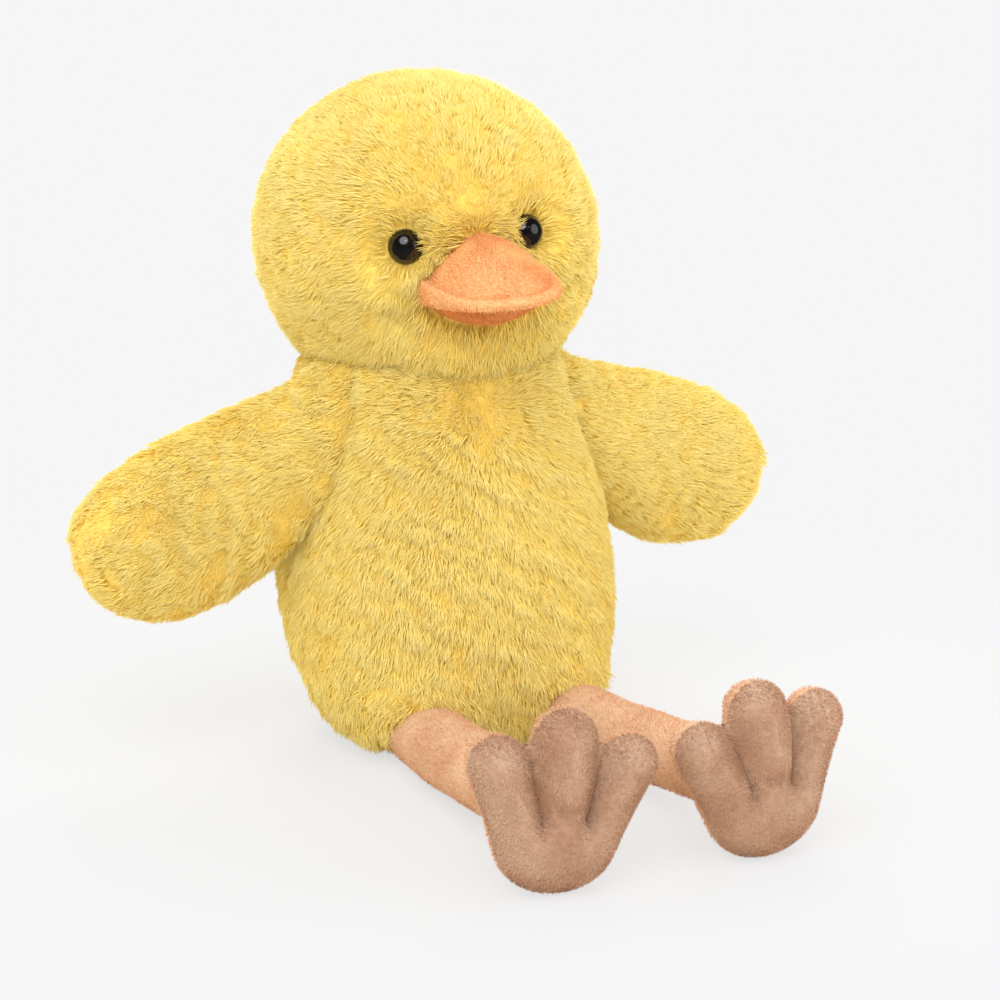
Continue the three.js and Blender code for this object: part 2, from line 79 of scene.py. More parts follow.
# How far strands stray from the comb where it is weak and where it is whole, and the least they are laid over
STRAY_WEAK, STRAY_WHOLE, LEAST_LAID = 1.9, 0.45, 0.75
# Share of the pile by which a strand starts below the top of the under-fur
ROOT_SUNK = 0.07
# Ranges for the strands of a tuft: added to their lean, and shares of their length, width and gathering
LEAN_RANGE, REACH_RANGE = (-0.2, 0.06), (0.74, 1.04)
WIDTH_RANGE, GATHER_RANGE = (0.7, 1.25), (0.4, 1.3)
# Size of the rises and falls in the pile, the most they count, and their height as a share of the pile
HILL_SIZE, HILL_MOST, HILL_HEIGHT = 8 * MM, 1.5, 0.12
# How far the waist of a strand is raised, as a share of its width
STRAND_RIDGE = 0.14
# Place of the under-fur between the colours of the roots and of the tips, set low so that it is near the deep
# gold of the roots: painted shade for the shadow the strands cast on it
UNDER_FUR_PAINTED_SHADE = 0.17
# Share of the map that the cloth takes and where its pile starts, for fur and for short pile
FUR_MAP, SHORT_MAP = (0.15, 0.16), (0.5, 0.52)
# Least height of a strand and of a short fibre over the floor
STRAND_FLOOR, FIBRE_FLOOR = 0.4 * MM, 0.1 * MM
# Width below which the rows of a panel have run together in a point
POINT_WIDTH = 2 * MM
# Share of the head's radius below its middle where the body hides it, so that no strands are needed
HIDDEN_CHIN = 0.7224
# Squareness of the swell of the body over its seat and of a wing's tip, where 2 is round
BODY_SWELL, WING_TIP = 2.2, 2.7
# Height of the body's cloth at the seat, and how far it ends below the crease of the neck
SEAT_HEIGHT, NECK_ROOM = 3 * MM, 2 * MM
# Middle of a foot's pattern over the ankle, and the ends of the sewn channel beside the middle toe
FOOT_MIDDLE = 9 * MM
CHANNEL_LOW = (7 * MM, 3.5 * MM)
CHANNEL_HIGH = (13.8 * MM, 31 * MM)
# Share of the beak's length at which its last row lies, just short of the point
BEAK_END = 0.997
# Thickness of the cloth of the beak and of the pellet bag
BEAK_CLOTH, BAG_CLOTH = 1.6 * MM, 0.8 * MM


def joint_point(name):
    """Where a joint turns."""
    return np.array(JOINTS[name]["pos_m"], float)


def joint_axis(name):
    """The line that a joint turns about."""
    return np.array(JOINTS[name]["axis"], float)


def box_side(node, corner, axis):
    """One side of a node's box: corner 0 is the lowest and 1 the highest."""
    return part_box(node)[corner][axis]


def length(name, description, default):
    """A length that a user may change."""
    return bpy.props.FloatProperty(name=name, description=description, default=default, unit="LENGTH")


def angle(name, description, degrees):
    """An angle that a user may change, given in degrees."""
    default = math.radians(degrees)
    return bpy.props.FloatProperty(name=name, description=description, default=default, subtype="ANGLE")


def number(name, description, default):
    """A plain number that a user may change."""
    return bpy.props.FloatProperty(name=name, description=description, default=default)


def count(name, description, default):
    """A whole number that a user may change."""
    return bpy.props.IntProperty(name=name, description=description, default=default, min=1)


def colour(name, description, default):
    """A linear colour that a user may change."""
    return bpy.props.FloatVectorProperty(
        name=name, description=description, default=default, size=3, subtype="COLOR", min=0, max=1
    )


class ChickHead(bpy.types.PropertyGroup):
    """Sizes of the head and its face"""

    radius: length("Radius", "Half width of the head over its fur", 60 * MM)
    crown: length("Crown", "Height of the head above its middle", 57.5 * MM)
    sway: number("Sway", "How far the crown leans to the chick's right, as a share of its height", 0.03)
    eye_radius: length("Eye radius", "Half width of an eye", 6 * MM)
    eye_dome: length("Eye dome", "How far an eye stands out", 5.5 * MM)
    shank_radius: length("Shank radius", "Half width of the shank behind an eye", 2 * MM)
    shank_length: length("Shank length", "How far the shank runs into the head", 9 * MM)
    beak_width: length("Beak width", "Width of the beak at its root", 41 * MM)
    beak_rise: length("Beak rise", "Height of the upper panel", 18 * MM)
    beak_drop: length("Beak drop", "Depth of the lower panel", 12 * MM)
    beak_length: length("Beak length", "How far the beak stands out of the fur", 28 * MM)
    beak_shift: length("Beak shift", "How far the beak is sewn to the chick's left", 3 * MM)
    beak_roof: number("Beak roof", "Squareness of the beak's section, where 2 is an ellipse", 1.5)
    mouth_level: length("Mouth level", "Height of the mouth over the middle of the head", -12.5 * MM)
    welt_radius: length("Welt radius", "Half thickness of the turned seam along the mouth", 2.5 * MM)


class ChickBody(bpy.types.PropertyGroup):
    """Sizes of the body"""

    seat_radius: length("Seat radius", "Half width of the flat seat", 24 * MM)
    belly_radius: length("Belly radius", "Half width of the belly over its fur", 58 * MM)
    belly_depth: length("Belly depth", "Depth of the belly from front to back", 101 * MM)
    belly_height: length("Belly height", "Height at which the body is widest", 55 * MM)
    neck_radius: length("Neck radius", "Half width at the crease of the neck", 45 * MM)
    neck_height: length("Neck height", "Height of the crease of the neck", box_side("body_front_panel", 1, 2))
    lean: angle("Lean", "How far the body leans back", 10)
    squareness: number("Squareness", "Squareness of the body's section, where 2 is an ellipse", 2.6)
    bag_radius: length("Bag radius", "Half width of the pellet bag", box_side("pellet_bag_top_panel", 1, 0))
    pellet: length("Pellet", "Width of a pellet", 3.6 * MM)


class ChickWing(bpy.types.PropertyGroup):
    """Sizes of the wings"""

    chord: length("Chord", "Width of a wing over its fur", 69 * MM)
    root_chord: length("Root chord", "Width of a wing where it is sewn on", 58 * MM)
    thickness: length("Thickness", "Thickness of a wing over its fur", 42 * MM)
    root_share: number("Root share", "Thickness at the root as a share of the full thickness", 0.92)
    root_front: length("Root to the front", "How far the sewn root bulges to the front", 12 * MM)
    span: length("Span", "Length of a wing from its root to its tip", 75 * MM)
    taper: length("Taper", "Distance over which a wing swells from its root", 29 * MM)
    tuck: length("Tuck", "How far the root is tucked into the fur of the body", 16 * MM)
    right_droop: angle("Right droop", "How far the right wing hangs down", 34)
    left_droop: angle("Left droop", "How far the left wing hangs down", 25)
    lift: number("Lift", "How far the tip bends up again", 0.55)


class ChickLimb(bpy.types.PropertyGroup):
    """Sizes of the legs and feet"""

    leg_radius: length("Leg radius", "Half thickness of a leg at the hip", 11.5 * MM)
    ankle_radius: length("Ankle radius", "Half thickness of a leg at the ankle", 11 * MM)
    leg_tuck: length("Leg tuck", "How far a leg is tucked into the fur of the body", 14 * MM)
    leg_sag: length("Leg sag", "How far a leg sags below its joint at the hip", 5.5 * MM)
    ankle_tuck: length("Ankle tuck", "How far a leg runs on into the foot", 7 * MM)
    cloth: length("Cloth", "Thickness of the velboa", 1.6 * MM)
    foot_thickness: length("Foot thickness", "Thickness of a foot through its heel", 23 * MM)
    ankle_height: length("Ankle height", "Height of the ankle over the bottom of the heel", 20 * MM)
    ankle_bend: angle("Ankle bend", "How far the ankle is set into the back of the foot", 22)
    heel_radius: length("Heel radius", "Half width of the heel", 15.5 * MM)
    outer_heel_radius: length("Outer heel radius", "Half width of an outer toe at its root", 13.5 * MM)
    toe_radius: length("Toe radius", "Half width of an outer toe at its tip", 10 * MM)
    middle_toe_radius: length("Middle toe radius", "Half width of the middle toe at its tip", 11 * MM)
    middle_toe: length("Middle toe", "Length of the middle toe", 41 * MM)
    outer_toe: length("Outer toe", "Length of an outer toe", 37.5 * MM)
    toe_fan: angle("Toe fan", "How far the outer toes fan out", 33)
    toe_spacing: length("Toe spacing", "Distance between the roots of the outer toes", 12 * MM)
    foot_roll: angle("Foot roll", "How far a foot leans outwards", 6)
    splay: angle("Splay", "How far the legs are spread", 4)
    web: length("Web", "How softly the toes run together", 3.4 * MM)
    foot_edge: length("Foot edge", "Distance over which a foot rounds off to its seam", 13 * MM)
    channel: number("Channel", "Depth of a sewn channel as a share of the foot's height there", 0.68)
    channel_width: length("Channel width", "Half width of the sewn channel between two toes", 8.5 * MM)


class ChickFur(bpy.types.PropertyGroup):
    """Pile, density and colours of the fur"""

    thickness: length("Thickness", "Thickness of the fur, cloth and pile together", 11 * MM)
    cloth: length("Cloth", "Thickness of the cloth that carries the pile", 1.5 * MM)
    under: number("Under-fur", "Height of the dense under-fur as a share of the pile", 0.77)
    strand: length("Strand", "Width of a strand at its waist", 0.2 * MM)
    root_lean: angle("Root lean", "How far a strand leans over at its root", 52)
    tip_lean: angle("Tip lean", "How far a strand leans over at its tip", 82)
    tuft: length("Tuft", "Half width of a tuft of strands", 1.8 * MM)
    gather: number("Gather", "How far the strands of a tuft are drawn together at their tips", 0.3)
    waist: number("Waist", "Share of a strand's length at which it is thickest", 0.5)
    tuft_strands: count("Strands in a tuft", "Number of strands in one tuft", 12)
    face_tufts: count("Face tufts", "Number of tufts on the face panel", 6600)
    nape_tufts: count("Nape tufts", "Number of tufts on the back panel of the head", 3600)
    front_tufts: count("Front tufts", "Number of tufts on the front panel of the body", 6200)
    back_tufts: count("Back tufts", "Number of tufts on the back panel of the body", 3200)
    seat_tufts: count("Seat tufts", "Number of tufts on the seat panel", 300)
    wing_tufts: count("Wing tufts", "Number of tufts on one panel of a wing", 2000)
    # The deep gold at the roots is partly the fur's own colour and partly painted shade for the gaps down
    # between the strands
    root_colour: colour("Root colour", "Colour of the pile at its roots", (0.82, 0.6, 0.13))
    body_colour: colour("Middle colour", "Colour of the pile half way up", (0.98, 0.76, 0.18))
    tip_colour: colour("Tip colour", "Colour of the pile at its tips", (0.98, 0.87, 0.38))


class ChickCloth(bpy.types.PropertyGroup):
    """Colours of the short-pile cloth and of what is inside"""

    tan: colour("Tan", "Colour of the legs and the upper side of the feet", (0.72, 0.46, 0.29))
    rose: colour("Rose", "Colour of the soles", (0.54, 0.35, 0.24))
    orange: colour("Orange", "Colour of the upper beak", (0.86, 0.5, 0.235))
    # The lower beak is the same cloth as the upper one; its darker orange is painted shade for its downward
    # side that lies back behind the seam
    painted_shade_orange: colour("Deep orange", "Colour of the lower beak, with its nap turned", (0.74, 0.35, 0.14))
    thread: colour("Thread", "Colour of the neck stitching", (0.78, 0.48, 0.08))
    brown_thread: colour("Brown thread", "Colour of the toe stitching", (0.33, 0.18, 0.12))
    fibre: colour("Fibre", "Colour of the filling", (0.88, 0.87, 0.83))
    bag: colour("Bag cloth", "Colour of the pellet bag", (0.80, 0.77, 0.68))
    pellet: colour("Pellets", "Colour of the pellets", (0.70, 0.68, 0.60))
    fuzz: length("Fuzz", "Length of the short pile", 1.2 * MM)
    fuzz_width: length("Fuzz width", "Width of a fibre of the short pile", 0.22 * MM)


class ChickStage(bpy.types.PropertyGroup):
    """Camera, lights and floor"""

    azimuth: angle("Azimuth", "Direction of the camera round the chick", -25.1)
    elevation: angle("Elevation", "Height of the camera over the horizon", 12.33)
    distance: length("Distance", "Distance from the camera to its target", 828.5 * MM)
    target: bpy.props.FloatVectorProperty(
        name="Target",
        description="Point that the camera looks at",
        default=(24.7 * MM, 16.8 * MM, 78.1 * MM),
        subtype="TRANSLATION",
    )
    lens: number("Lens", "Focal length in millimetres on a sensor 36 wide", 83.5)
    floor: colour("Floor", "Colour of the floor and the backdrop", (0.921, 0.921, 0.921))
    sky: number("Sky", "Strength of the light from all round", 0.85)


def settings(name):
    """One of the groups of sizes and colours."""
    return getattr(bpy.context.scene, f"chick_{name}")


def unit(vectors):
    """Vectors scaled to a length of 1."""
    return vectors / np.maximum(np.linalg.norm(vectors, axis=-1, keepdims=True), 1e-12)


def ease(value):
    """A smooth step from 0 to 1."""
    held = np.clip(value, 0, 1)
    return held * held * (3 - 2 * held)


def power(value, squareness):
    """A sine or cosine drawn out into a squarer or more pointed section."""
    return np.sign(value) * np.abs(value) ** (2 / squareness)


def slowing(share):
    """A share of the way that slows down towards its end: the sine of a quarter turn."""
    return np.sin(np.clip(share, 0, 1) * math.pi / 2)


def rounded(share, squareness):
    """A round shoulder that falls from 1 to 0 as a share goes from 0 to 1; a squareness of 2 is a circle."""
    return (1 - share**squareness) ** (1 / squareness)


def disc(a, b):
    """A square drawn out to a disc with a radius of 1."""
    x, y = 2 * a - 1, 2 * b - 1
    return x * np.sqrt(1 - y**2 / 2), y * np.sqrt(1 - x**2 / 2)


def placed(axes, origin, local):
    """Points given along three axes from an origin, as points of the frame."""
    return origin + local @ axes


def waves(points, size, rng, share=6):
    """Smooth random values: a sum of sine waves in random directions, each about one size long."""
    heading = unit(rng.normal(size=(share, 3))) * rng.uniform(0.6, 1.5, (share, 1)) * 2 * math.pi / size
    start = rng.uniform(0, 2 * math.pi, share)
    return np.sin(points @ heading.T + start).sum(-1) / math.sqrt(share / 2)


def wave_vectors(points, size, rng):
    """Smooth random vectors, one wave sum for each axis."""
    return np.stack([waves(points, size, rng) for _ in range(3)], axis=-1)


def across_normal(vectors, normals):
    """The share of vectors that lies along a surface."""
    return vectors - normals * (vectors * normals).sum(-1, keepdims=True)


class Part:
    """Points, faces, map and pile values of one share of a piece."""

    def __init__(self, points, faces, uv, pile=None, tint=None, smooth=True):
        self.smooth = smooth
        self.points = points.reshape(-1, 3)
        self.faces = faces
        total = len(self.points)
        self.uv = uv.reshape(-1, 2)
        self.pile = np.zeros(total) if pile is None else pile.ravel()
        self.tint = np.zeros(total) if tint is None else tint.ravel()

    def outward(self):
        """The same part with its faces turned to point out, told by the sign of its volume."""
        points = self.points - self.points.mean(0)
        volume = 0
        for faces in self.faces:
            for corner in range(1, faces.shape[1] - 1):
                across = np.cross(points[faces[:, corner]], points[faces[:, corner + 1]])
                volume += (points[faces[:, 0]] * across).sum()
        if volume < 0:
            self.faces = [faces[:, ::-1] for faces in self.faces]
        return self


def grid_faces(rows, columns, closed=False):
    """Four-sided faces over a grid of points; a closed grid joins its last column to its first."""
    index = np.arange(rows * columns).reshape(rows, columns)
    if closed:
        index = np.concatenate((index, index[:, :1]), axis=1)
    corners = (index[:-1, :-1], index[:-1, 1:], index[1:, 1:], index[1:, :-1])
    return np.stack(corners, axis=-1).reshape(-1, 4)


def map_square(rows, columns, low, high):
    """Map points of a grid, spread over an upright strip from low to high."""
    down, along = np.meshgrid(np.linspace(0, 1, rows), np.linspace(0, 1, columns), indexing="ij")
    return np.stack((low + (high - low) * along, down), axis=-1)


def two_sides(rows, columns, room):
    """Map points of two like grids, side by side in a share of the map."""
    strips = ((0, 0.49 * room), (0.51 * room, room))
    return np.concatenate([map_square(rows, columns, *strip).reshape(-1, 2) for strip in strips])


def cloth_between(outer, inner, faces, room):
    """A piece of cloth with two like grids as its sides."""
    points = np.concatenate((outer.reshape(-1, 3), inner.reshape(-1, 3)))
    return Part(points, [faces], two_sides(*outer.shape[:2], room)).outward()


def cloth_patch(outer, inner, room=1.0):
    """A piece of cloth between two like grids, closed by a rim along all four edges."""
    rows, columns = outer.shape[:2]
    total = rows * columns
    sheet = grid_faces(rows, columns)
    index = np.arange(total).reshape(rows, columns)
    edge = np.concatenate((index[0, :-1], index[:-1, -1], index[-1, :0:-1], index[:0:-1, 0]))
    ahead = np.roll(edge, -1)
    rim = np.stack((ahead, edge, edge + total, ahead + total), axis=-1)
    return cloth_between(outer, inner, np.concatenate((sheet, sheet[:, ::-1] + total, rim)), room)


def cloth_tube(outer, inner, room=1.0):
    """A sleeve between two like grids that close round on themselves, with a rim at either end."""
    rows, columns = outer.shape[:2]
    total = rows * columns
    wall = grid_faces(rows, columns, closed=True)
    around = np.arange(columns)
    ahead = np.roll(around, -1)
    last = total - columns
    rims = [
        np.stack((ahead, around, around + total, ahead + total), axis=-1),
        np.stack((around + last, ahead + last, ahead + last + total, around + last + total), axis=-1),
    ]
    return cloth_between(outer, inner, np.concatenate((wall, wall[:, ::-1] + total, *rims)), room)


def closed_form(grid, room=1.0):
    """A closed skin over rows of points that go round, with a middle point at either end."""
    rows, columns = grid.shape[:2]
    total = rows * columns
    around = np.arange(columns)
    ahead = np.roll(around, -1)
    last = total - columns
    ends = np.concatenate(
        (
            np.stack((ahead, around, np.full(columns, total)), axis=-1),
            np.stack((around + last, ahead + last, np.full(columns, total + 1)), axis=-1),
        )
    )
    points = np.concatenate((grid.reshape(-1, 3), grid[:1].mean(1), grid[-1:].mean(1)))
    poles = ((0.5 * room, 0), (0.5 * room, 1))
    uv = np.concatenate((map_square(rows, columns, 0, room).reshape(-1, 2), poles))
    return Part(points, [grid_faces(rows, columns, closed=True), ends], uv).outward()


def loop_form(grid):
    """A closed skin over rows of points that go round, whose last row meets its first."""
    rows, columns = grid.shape[:2]
    total = rows * columns
    faces = grid_faces(rows + 1, columns, closed=True) % total
    return Part(grid, [faces], map_square(rows, columns, 0, 1)).outward()


def piece(name, parts, material):
    """Joins parts into one mesh object at the origin, with its map and pile values."""
    points = np.concatenate([part.points for part in parts])
    starts = np.cumsum([0] + [len(part.points) for part in parts[:-1]])
    groups = [faces + start for part, start in zip(parts, starts) for faces in part.faces]
    corners = np.concatenate([faces.ravel() for faces in groups]).astype(np.int32)
    sides = np.concatenate([np.full(len(faces), faces.shape[1]) for faces in groups])
    mesh = bpy.data.meshes.new(name)
    mesh.vertices.add(len(points))
    mesh.vertices.foreach_set("co", points.astype(np.float32).ravel())
    mesh.loops.add(len(corners))
    mesh.loops.foreach_set("vertex_index", corners)
    mesh.polygons.add(len(sides))
    mesh.polygons.foreach_set("loop_start", (np.cumsum(sides) - sides).astype(np.int32))
    mesh.update(calc_edges=True)
    smooth = [np.full(sum(map(len, part.faces)), part.smooth) for part in parts]
    mesh.polygons.foreach_set("use_smooth", np.concatenate(smooth))
    uv = np.concatenate([part.uv for part in parts])
    mesh.uv_layers.new(name="OFBake").uv.foreach_set("vector", uv[corners].astype(np.float32).ravel())
    for label in ("pile", "tint"):
        values = np.concatenate([getattr(part, label) for part in parts])
        mesh.attributes.new(label, "FLOAT", "POINT").data.foreach_set("value", values.astype(np.float32))
    if mesh.validate():
        raise ValueError(f"{name} has faces that Blender can't use")
    made = bpy.data.objects.new(name, mesh)
    bpy.context.scene.collection.objects.link(made)
    mesh.materials.append(material)
    return made


def scatter(surface, total, rng, steps=150):
    """Spreads places evenly over a surface: cells are picked in proportion to their area."""
    edge = np.linspace(0, 1, steps + 1)
    grid = surface(*np.meshgrid(edge, edge, indexing="ij"))
    along = grid[1:, :-1] - grid[:-1, :-1]
    across = grid[:-1, 1:] - grid[:-1, :-1]
    reach = np.cumsum(np.linalg.norm(np.cross(along, across), axis=-1).ravel())
    picks = np.searchsorted(reach, (np.arange(total) + rng.random(total)) / total * reach[-1])
    row, column = np.divmod(np.minimum(picks, steps * steps - 1), steps)
    return (row + rng.random(total)) / steps, (column + rng.random(total)) / steps


def facing(surface, a, b, middle):
    """Points of a surface and the directions that face away from a middle point."""
    step = 1e-4
    points = surface(a, b)
    down = surface(a + step, b) - surface(a - step, b)
    along = surface(a, b + step) - surface(a, b - step)
    normals = unit(np.cross(down, along))
    if ((points - middle) * normals).sum() < 0:
        normals = -normals
    return points, normals


def strands(roots, waists, tips, width, tint, waist, low):
    """Closed strands of four faces: a point at the root, two abreast at the waist and one at the tip.

    The waist stands over the line from root to tip, so that a strand bends there. waist is the share of the
    length at which it lies. Each strand has its own cell of the map, to the right of low.
    """
    total = len(roots)
    over = unit(waists - roots - waist * (tips - roots))
    side = 0.5 * width * unit(np.cross(tips - roots, over))
    waists = waists + STRAND_RIDGE * width * over
    points = np.stack((roots, waists - side, waists + side, tips), axis=1)
    corners = np.array(((0, 2, 1), (3, 1, 2), (0, 1, 3), (0, 3, 2)))
    faces = corners[None] + 4 * np.arange(total)[:, None, None]
    along = np.array((0, waist, waist, 1))
    across = np.array((0.5, 0.1, 0.9, 0.5))
    cells = math.ceil(math.sqrt(total))
    row, column = np.divmod(np.arange(total), cells)
    u = low + (1 - low) * (column[:, None] + 0.1 + 0.8 * across) / cells
    v = (row[:, None] + 0.1 + 0.8 * along) / cells
    pile = np.tile(along, (total, 1))
    shade = np.repeat(tint[:, None], 4, axis=1)
    return Part(points, [faces.reshape(-1, 3)], np.stack((u, v), axis=-1), pile, shade, smooth=False)


def arc(roots, normals, comb, lean, bend, reach, share):
    """Point of a strand at a share of its length: a round arc that turns from one lean to another."""
    turned = lean + bend * share
    up = (np.sin(turned) - np.sin(lean)) / bend
    over = (np.cos(lean) - np.cos(turned)) / bend
    return roots + (normals * up[..., None] + comb * over[..., None]) * reach[..., None]


def grow_fur(surface, middle, tufts, comb, depth, under, keep, seed, broad):
    """Fur over a surface: tufts whose strands start apart and are drawn together at their tips.

    A strand starts just below the top of the under-fur and leans over along the comb as a round arc, as
    high as the pile is deep. The comb and the length change smoothly from place to place and a little from
    strand to strand.
    """
    fur = settings("fur")
    rng = np.random.default_rng(seed)
    roots, normals = facing(surface, *scatter(surface, tufts, rng), middle)
    kept = keep(roots)
    roots, normals = roots[kept], normals[kept]
    total, share = len(roots), fur.tuft_strands
    swirl = sum(strength * wave_vectors(roots, size, rng) for strength, size in SWIRLS)
    flow = across_normal(comb(roots, normals) + swirl, normals)
    laid = np.clip(np.linalg.norm(flow, axis=-1), 0, 1)[:, None]
    stray = (STRAY_WEAK + (STRAY_WHOLE - STRAY_WEAK) * laid)[..., None]
    laid = np.maximum(laid, LEAST_LAID)
    heading = unit(flow)
    hills = np.clip(waves(roots, HILL_SIZE, rng), -HILL_MOST, HILL_MOST)
    base = np.maximum(under(roots) - ROOT_SUNK * depth(roots), -0.5 * MM)
    height = (depth(roots) - base) * (0.9 + HILL_HEIGHT * hills)

    side = np.cross(normals, heading)
    spread = fur.tuft * np.sqrt(rng.random((total, share, 1)))
    where = rng.uniform(0, 2 * math.pi, (total, share, 1))
    offset = spread * (np.cos(where) * side[:, None] + np.sin(where) * heading[:, None])
    lean = fur.root_lean * laid + 0.02 * waves(roots, 12 * MM, rng)[:, None]
    curl = (fur.tip_lean - fur.root_lean) * laid
    bend = np.maximum(curl + 0.02 * waves(roots, 10 * MM, rng)[:, None], 0.2)
    reach = height[:, None] * bend / (np.sin(lean + bend) - np.sin(lean))
    own = unit(heading[:, None] + stray * side[:, None] * rng.normal(size=(total, share, 1)))
    own_lean = lean + rng.uniform(*LEAN_RANGE, (total, share))
    own_reach = reach * rng.uniform(*REACH_RANGE, (total, share))
    start = roots[:, None] + normals[:, None] * base[:, None, None]
    gather = fur.gather * rng.uniform(*GATHER_RANGE, (total, share, 1))

    def along(share_of_length):
        """Points of all strands, drawn towards the middle of their tufts."""
        tuft = arc(start, normals[:, None], heading[:, None], lean, bend, reach, share_of_length)
        strand = arc(start + offset, normals[:, None], own, own_lean, bend, own_reach, share_of_length)
        points = (strand + (tuft - strand) * gather * share_of_length).reshape(-1, 3)
        points[:, 2] = np.maximum(points[:, 2], STRAND_FLOOR)
        return points

    widths = broad * fur.strand * rng.uniform(*WIDTH_RANGE, (total * share, 1))
    bottoms, waists, tips = along(0.0), along(fur.waist), along(1.0)
    tint = np.repeat(0.7 * hills + rng.normal(0, 0.35, total), share)
    tint = tint + rng.normal(0, 0.45, total * share)
    return strands(bottoms, waists, tips, widths, np.clip(tint, -1.5, 1.5), fur.waist, FUR_MAP[1])


def patch_grid(surface, rows, columns):
    """A surface of two parameters on an even grid."""
    return surface(*np.meshgrid(np.linspace(0, 1, rows), np.linspace(0, 1, columns), indexing="ij"))


def rounds(surface, rows, columns):
    """A surface whose second parameter goes once round, on an even grid that closes on itself."""
    return patch_grid(surface, rows, columns + 1)[:, :-1]


def fur_panel(name, node, skin, middle, tufts, comb, depth, keep, seed, room=None, broad=1.0):
    """A panel of fur: its cloth with the dense under-fur, and the pile that grows on it.

    The under-fur stands at a share of the pile's depth and rises and falls in soft bumps. room is where it
    may stand: 0 on the bare cloth and 1 where the fur is whole. broad makes the strands of a thinly sown
    panel wider.
    """
    fur = settings("fur")
    rng = np.random.default_rng(seed + 100)

    def under(points):
        """Height of the under-fur over the cloth."""
        return fur.under * depth(points) * (1 if room is None else room(points))

    def bare(a, b):
        """The outer side of the cloth."""
        return skin(a, b, 0)

    def raised(a, b):
        """The top of the under-fur, which runs together in one point where the cloth does."""
        base = bare(a, b)
        normals = facing(bare, np.clip(a, 0.01, 0.99), b, middle)[1]
        narrow = np.ptp(base, axis=1).max(-1) < POINT_WIDTH
        if narrow[-1]:
            seam = base[:, 0] + base[:, -1]
            normals[narrow] = unit(seam[-1] - seam[-8])
        bumps = np.clip(waves(base, 9 * MM, rng), -1.5, 1.5)
        height = under(base.reshape(-1, 3)).reshape(a.shape) * (1 + 0.03 * bumps)
        return base + normals * height[..., None]

    outer = patch_grid(raised, *PANEL_GRID)
    inner = patch_grid(lambda a, b: skin(a, b, fur.cloth), *PANEL_GRID)
    backing = cloth_patch(outer, inner, FUR_MAP[0])
    # The under-fur is coloured near the roots' deep gold, a painted shade for the strands' shadow on it
    backing.pile[: len(backing.pile) // 2] = UNDER_FUR_PAINTED_SHADE
    pile = grow_fur(bare, middle, tufts, comb, depth, under, keep, seed, broad)
    made = piece(name, [backing, pile], fur_material())
    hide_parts(node)
    return made


def everywhere(points):
    """Keeps all tufts."""
    return np.ones(len(points), bool)


def head_axes():
    """The head's own axes: X along the nodding joint, Y level and Z up through the crown."""
    across = joint_axis("head_nod")
    back = unit(np.array((-across[1], across[0], 0)))
    return np.stack((across, back, np.cross(across, back)))


def half_ball(a, b, side):
    """Directions over half a ball: a disc folded back round the Y axis."""
    across, up = disc(a, b)
    spread = np.maximum(np.hypot(across, up), 1e-9)
    polar = spread * math.pi / 2
    ring = np.sin(polar) / spread
    return np.stack((across * ring, side * np.cos(polar), up * ring), axis=-1)


def head_form(direction, inset):
    """The head in a direction from its middle: a ball that is flatter above its widest level."""
    head = settings("head")
    upper = np.where(direction[..., 2] > 0, head.crown, head.radius) - inset
    wide = head.radius - inset
    local = direction * np.stack((wide + 0 * upper, wide + 0 * upper, upper), axis=-1)
    local[..., 0] -= head.sway * np.maximum(local[..., 2] + 0.3 * head.radius, 0)
    return placed(head_axes(), joint_point("head_nod"), local)


def eye_aim(side):
    """Direction of an eye from the middle of the head, from the middle of its node."""
    vertices = frame["nodes"][f"{side}_eye"].data.vertices
    points = np.empty(3 * len(vertices), np.float32)
    vertices.foreach_get("co", points)
    return unit(points.reshape(-1, 3).astype(float).mean(0) - joint_point("head_nod"))


def beak_middle():
    """Middle of the mouth, at the middle of the head from front to back."""
    head = settings("head")
    return placed(head_axes(), joint_point("head_nod"), np.array((head.beak_shift, 0, head.mouth_level)))


def face_clearance(points):
    """How far points of the face lie from the nearest eye or the root of the beak; less than 0 inside."""
    head, fur = settings("head"), settings("fur")
    middle = joint_point("head_nod")
    skin = head.radius - fur.thickness + fur.cloth
    eyes = [middle + eye_aim(side) * skin for side in SIDES]
    rooms = [np.linalg.norm(points - eye, axis=-1) - head.eye_radius for eye in eyes]
    local = (points - beak_middle()) @ head_axes().T
    wide, roof = head.beak_width / 2, head.beak_roof
    height = np.where(local[:, 2] > 0, head.beak_rise, head.beak_drop)
    share = np.abs(local[:, 0] / wide) ** roof + np.abs(local[:, 2] / height) ** roof
    beak = (share ** (1 / roof) - 1) * np.minimum(height, wide)
    rooms.append(np.where(local[:, 1] < 0, beak, 1))
    return np.min(rooms, axis=0)


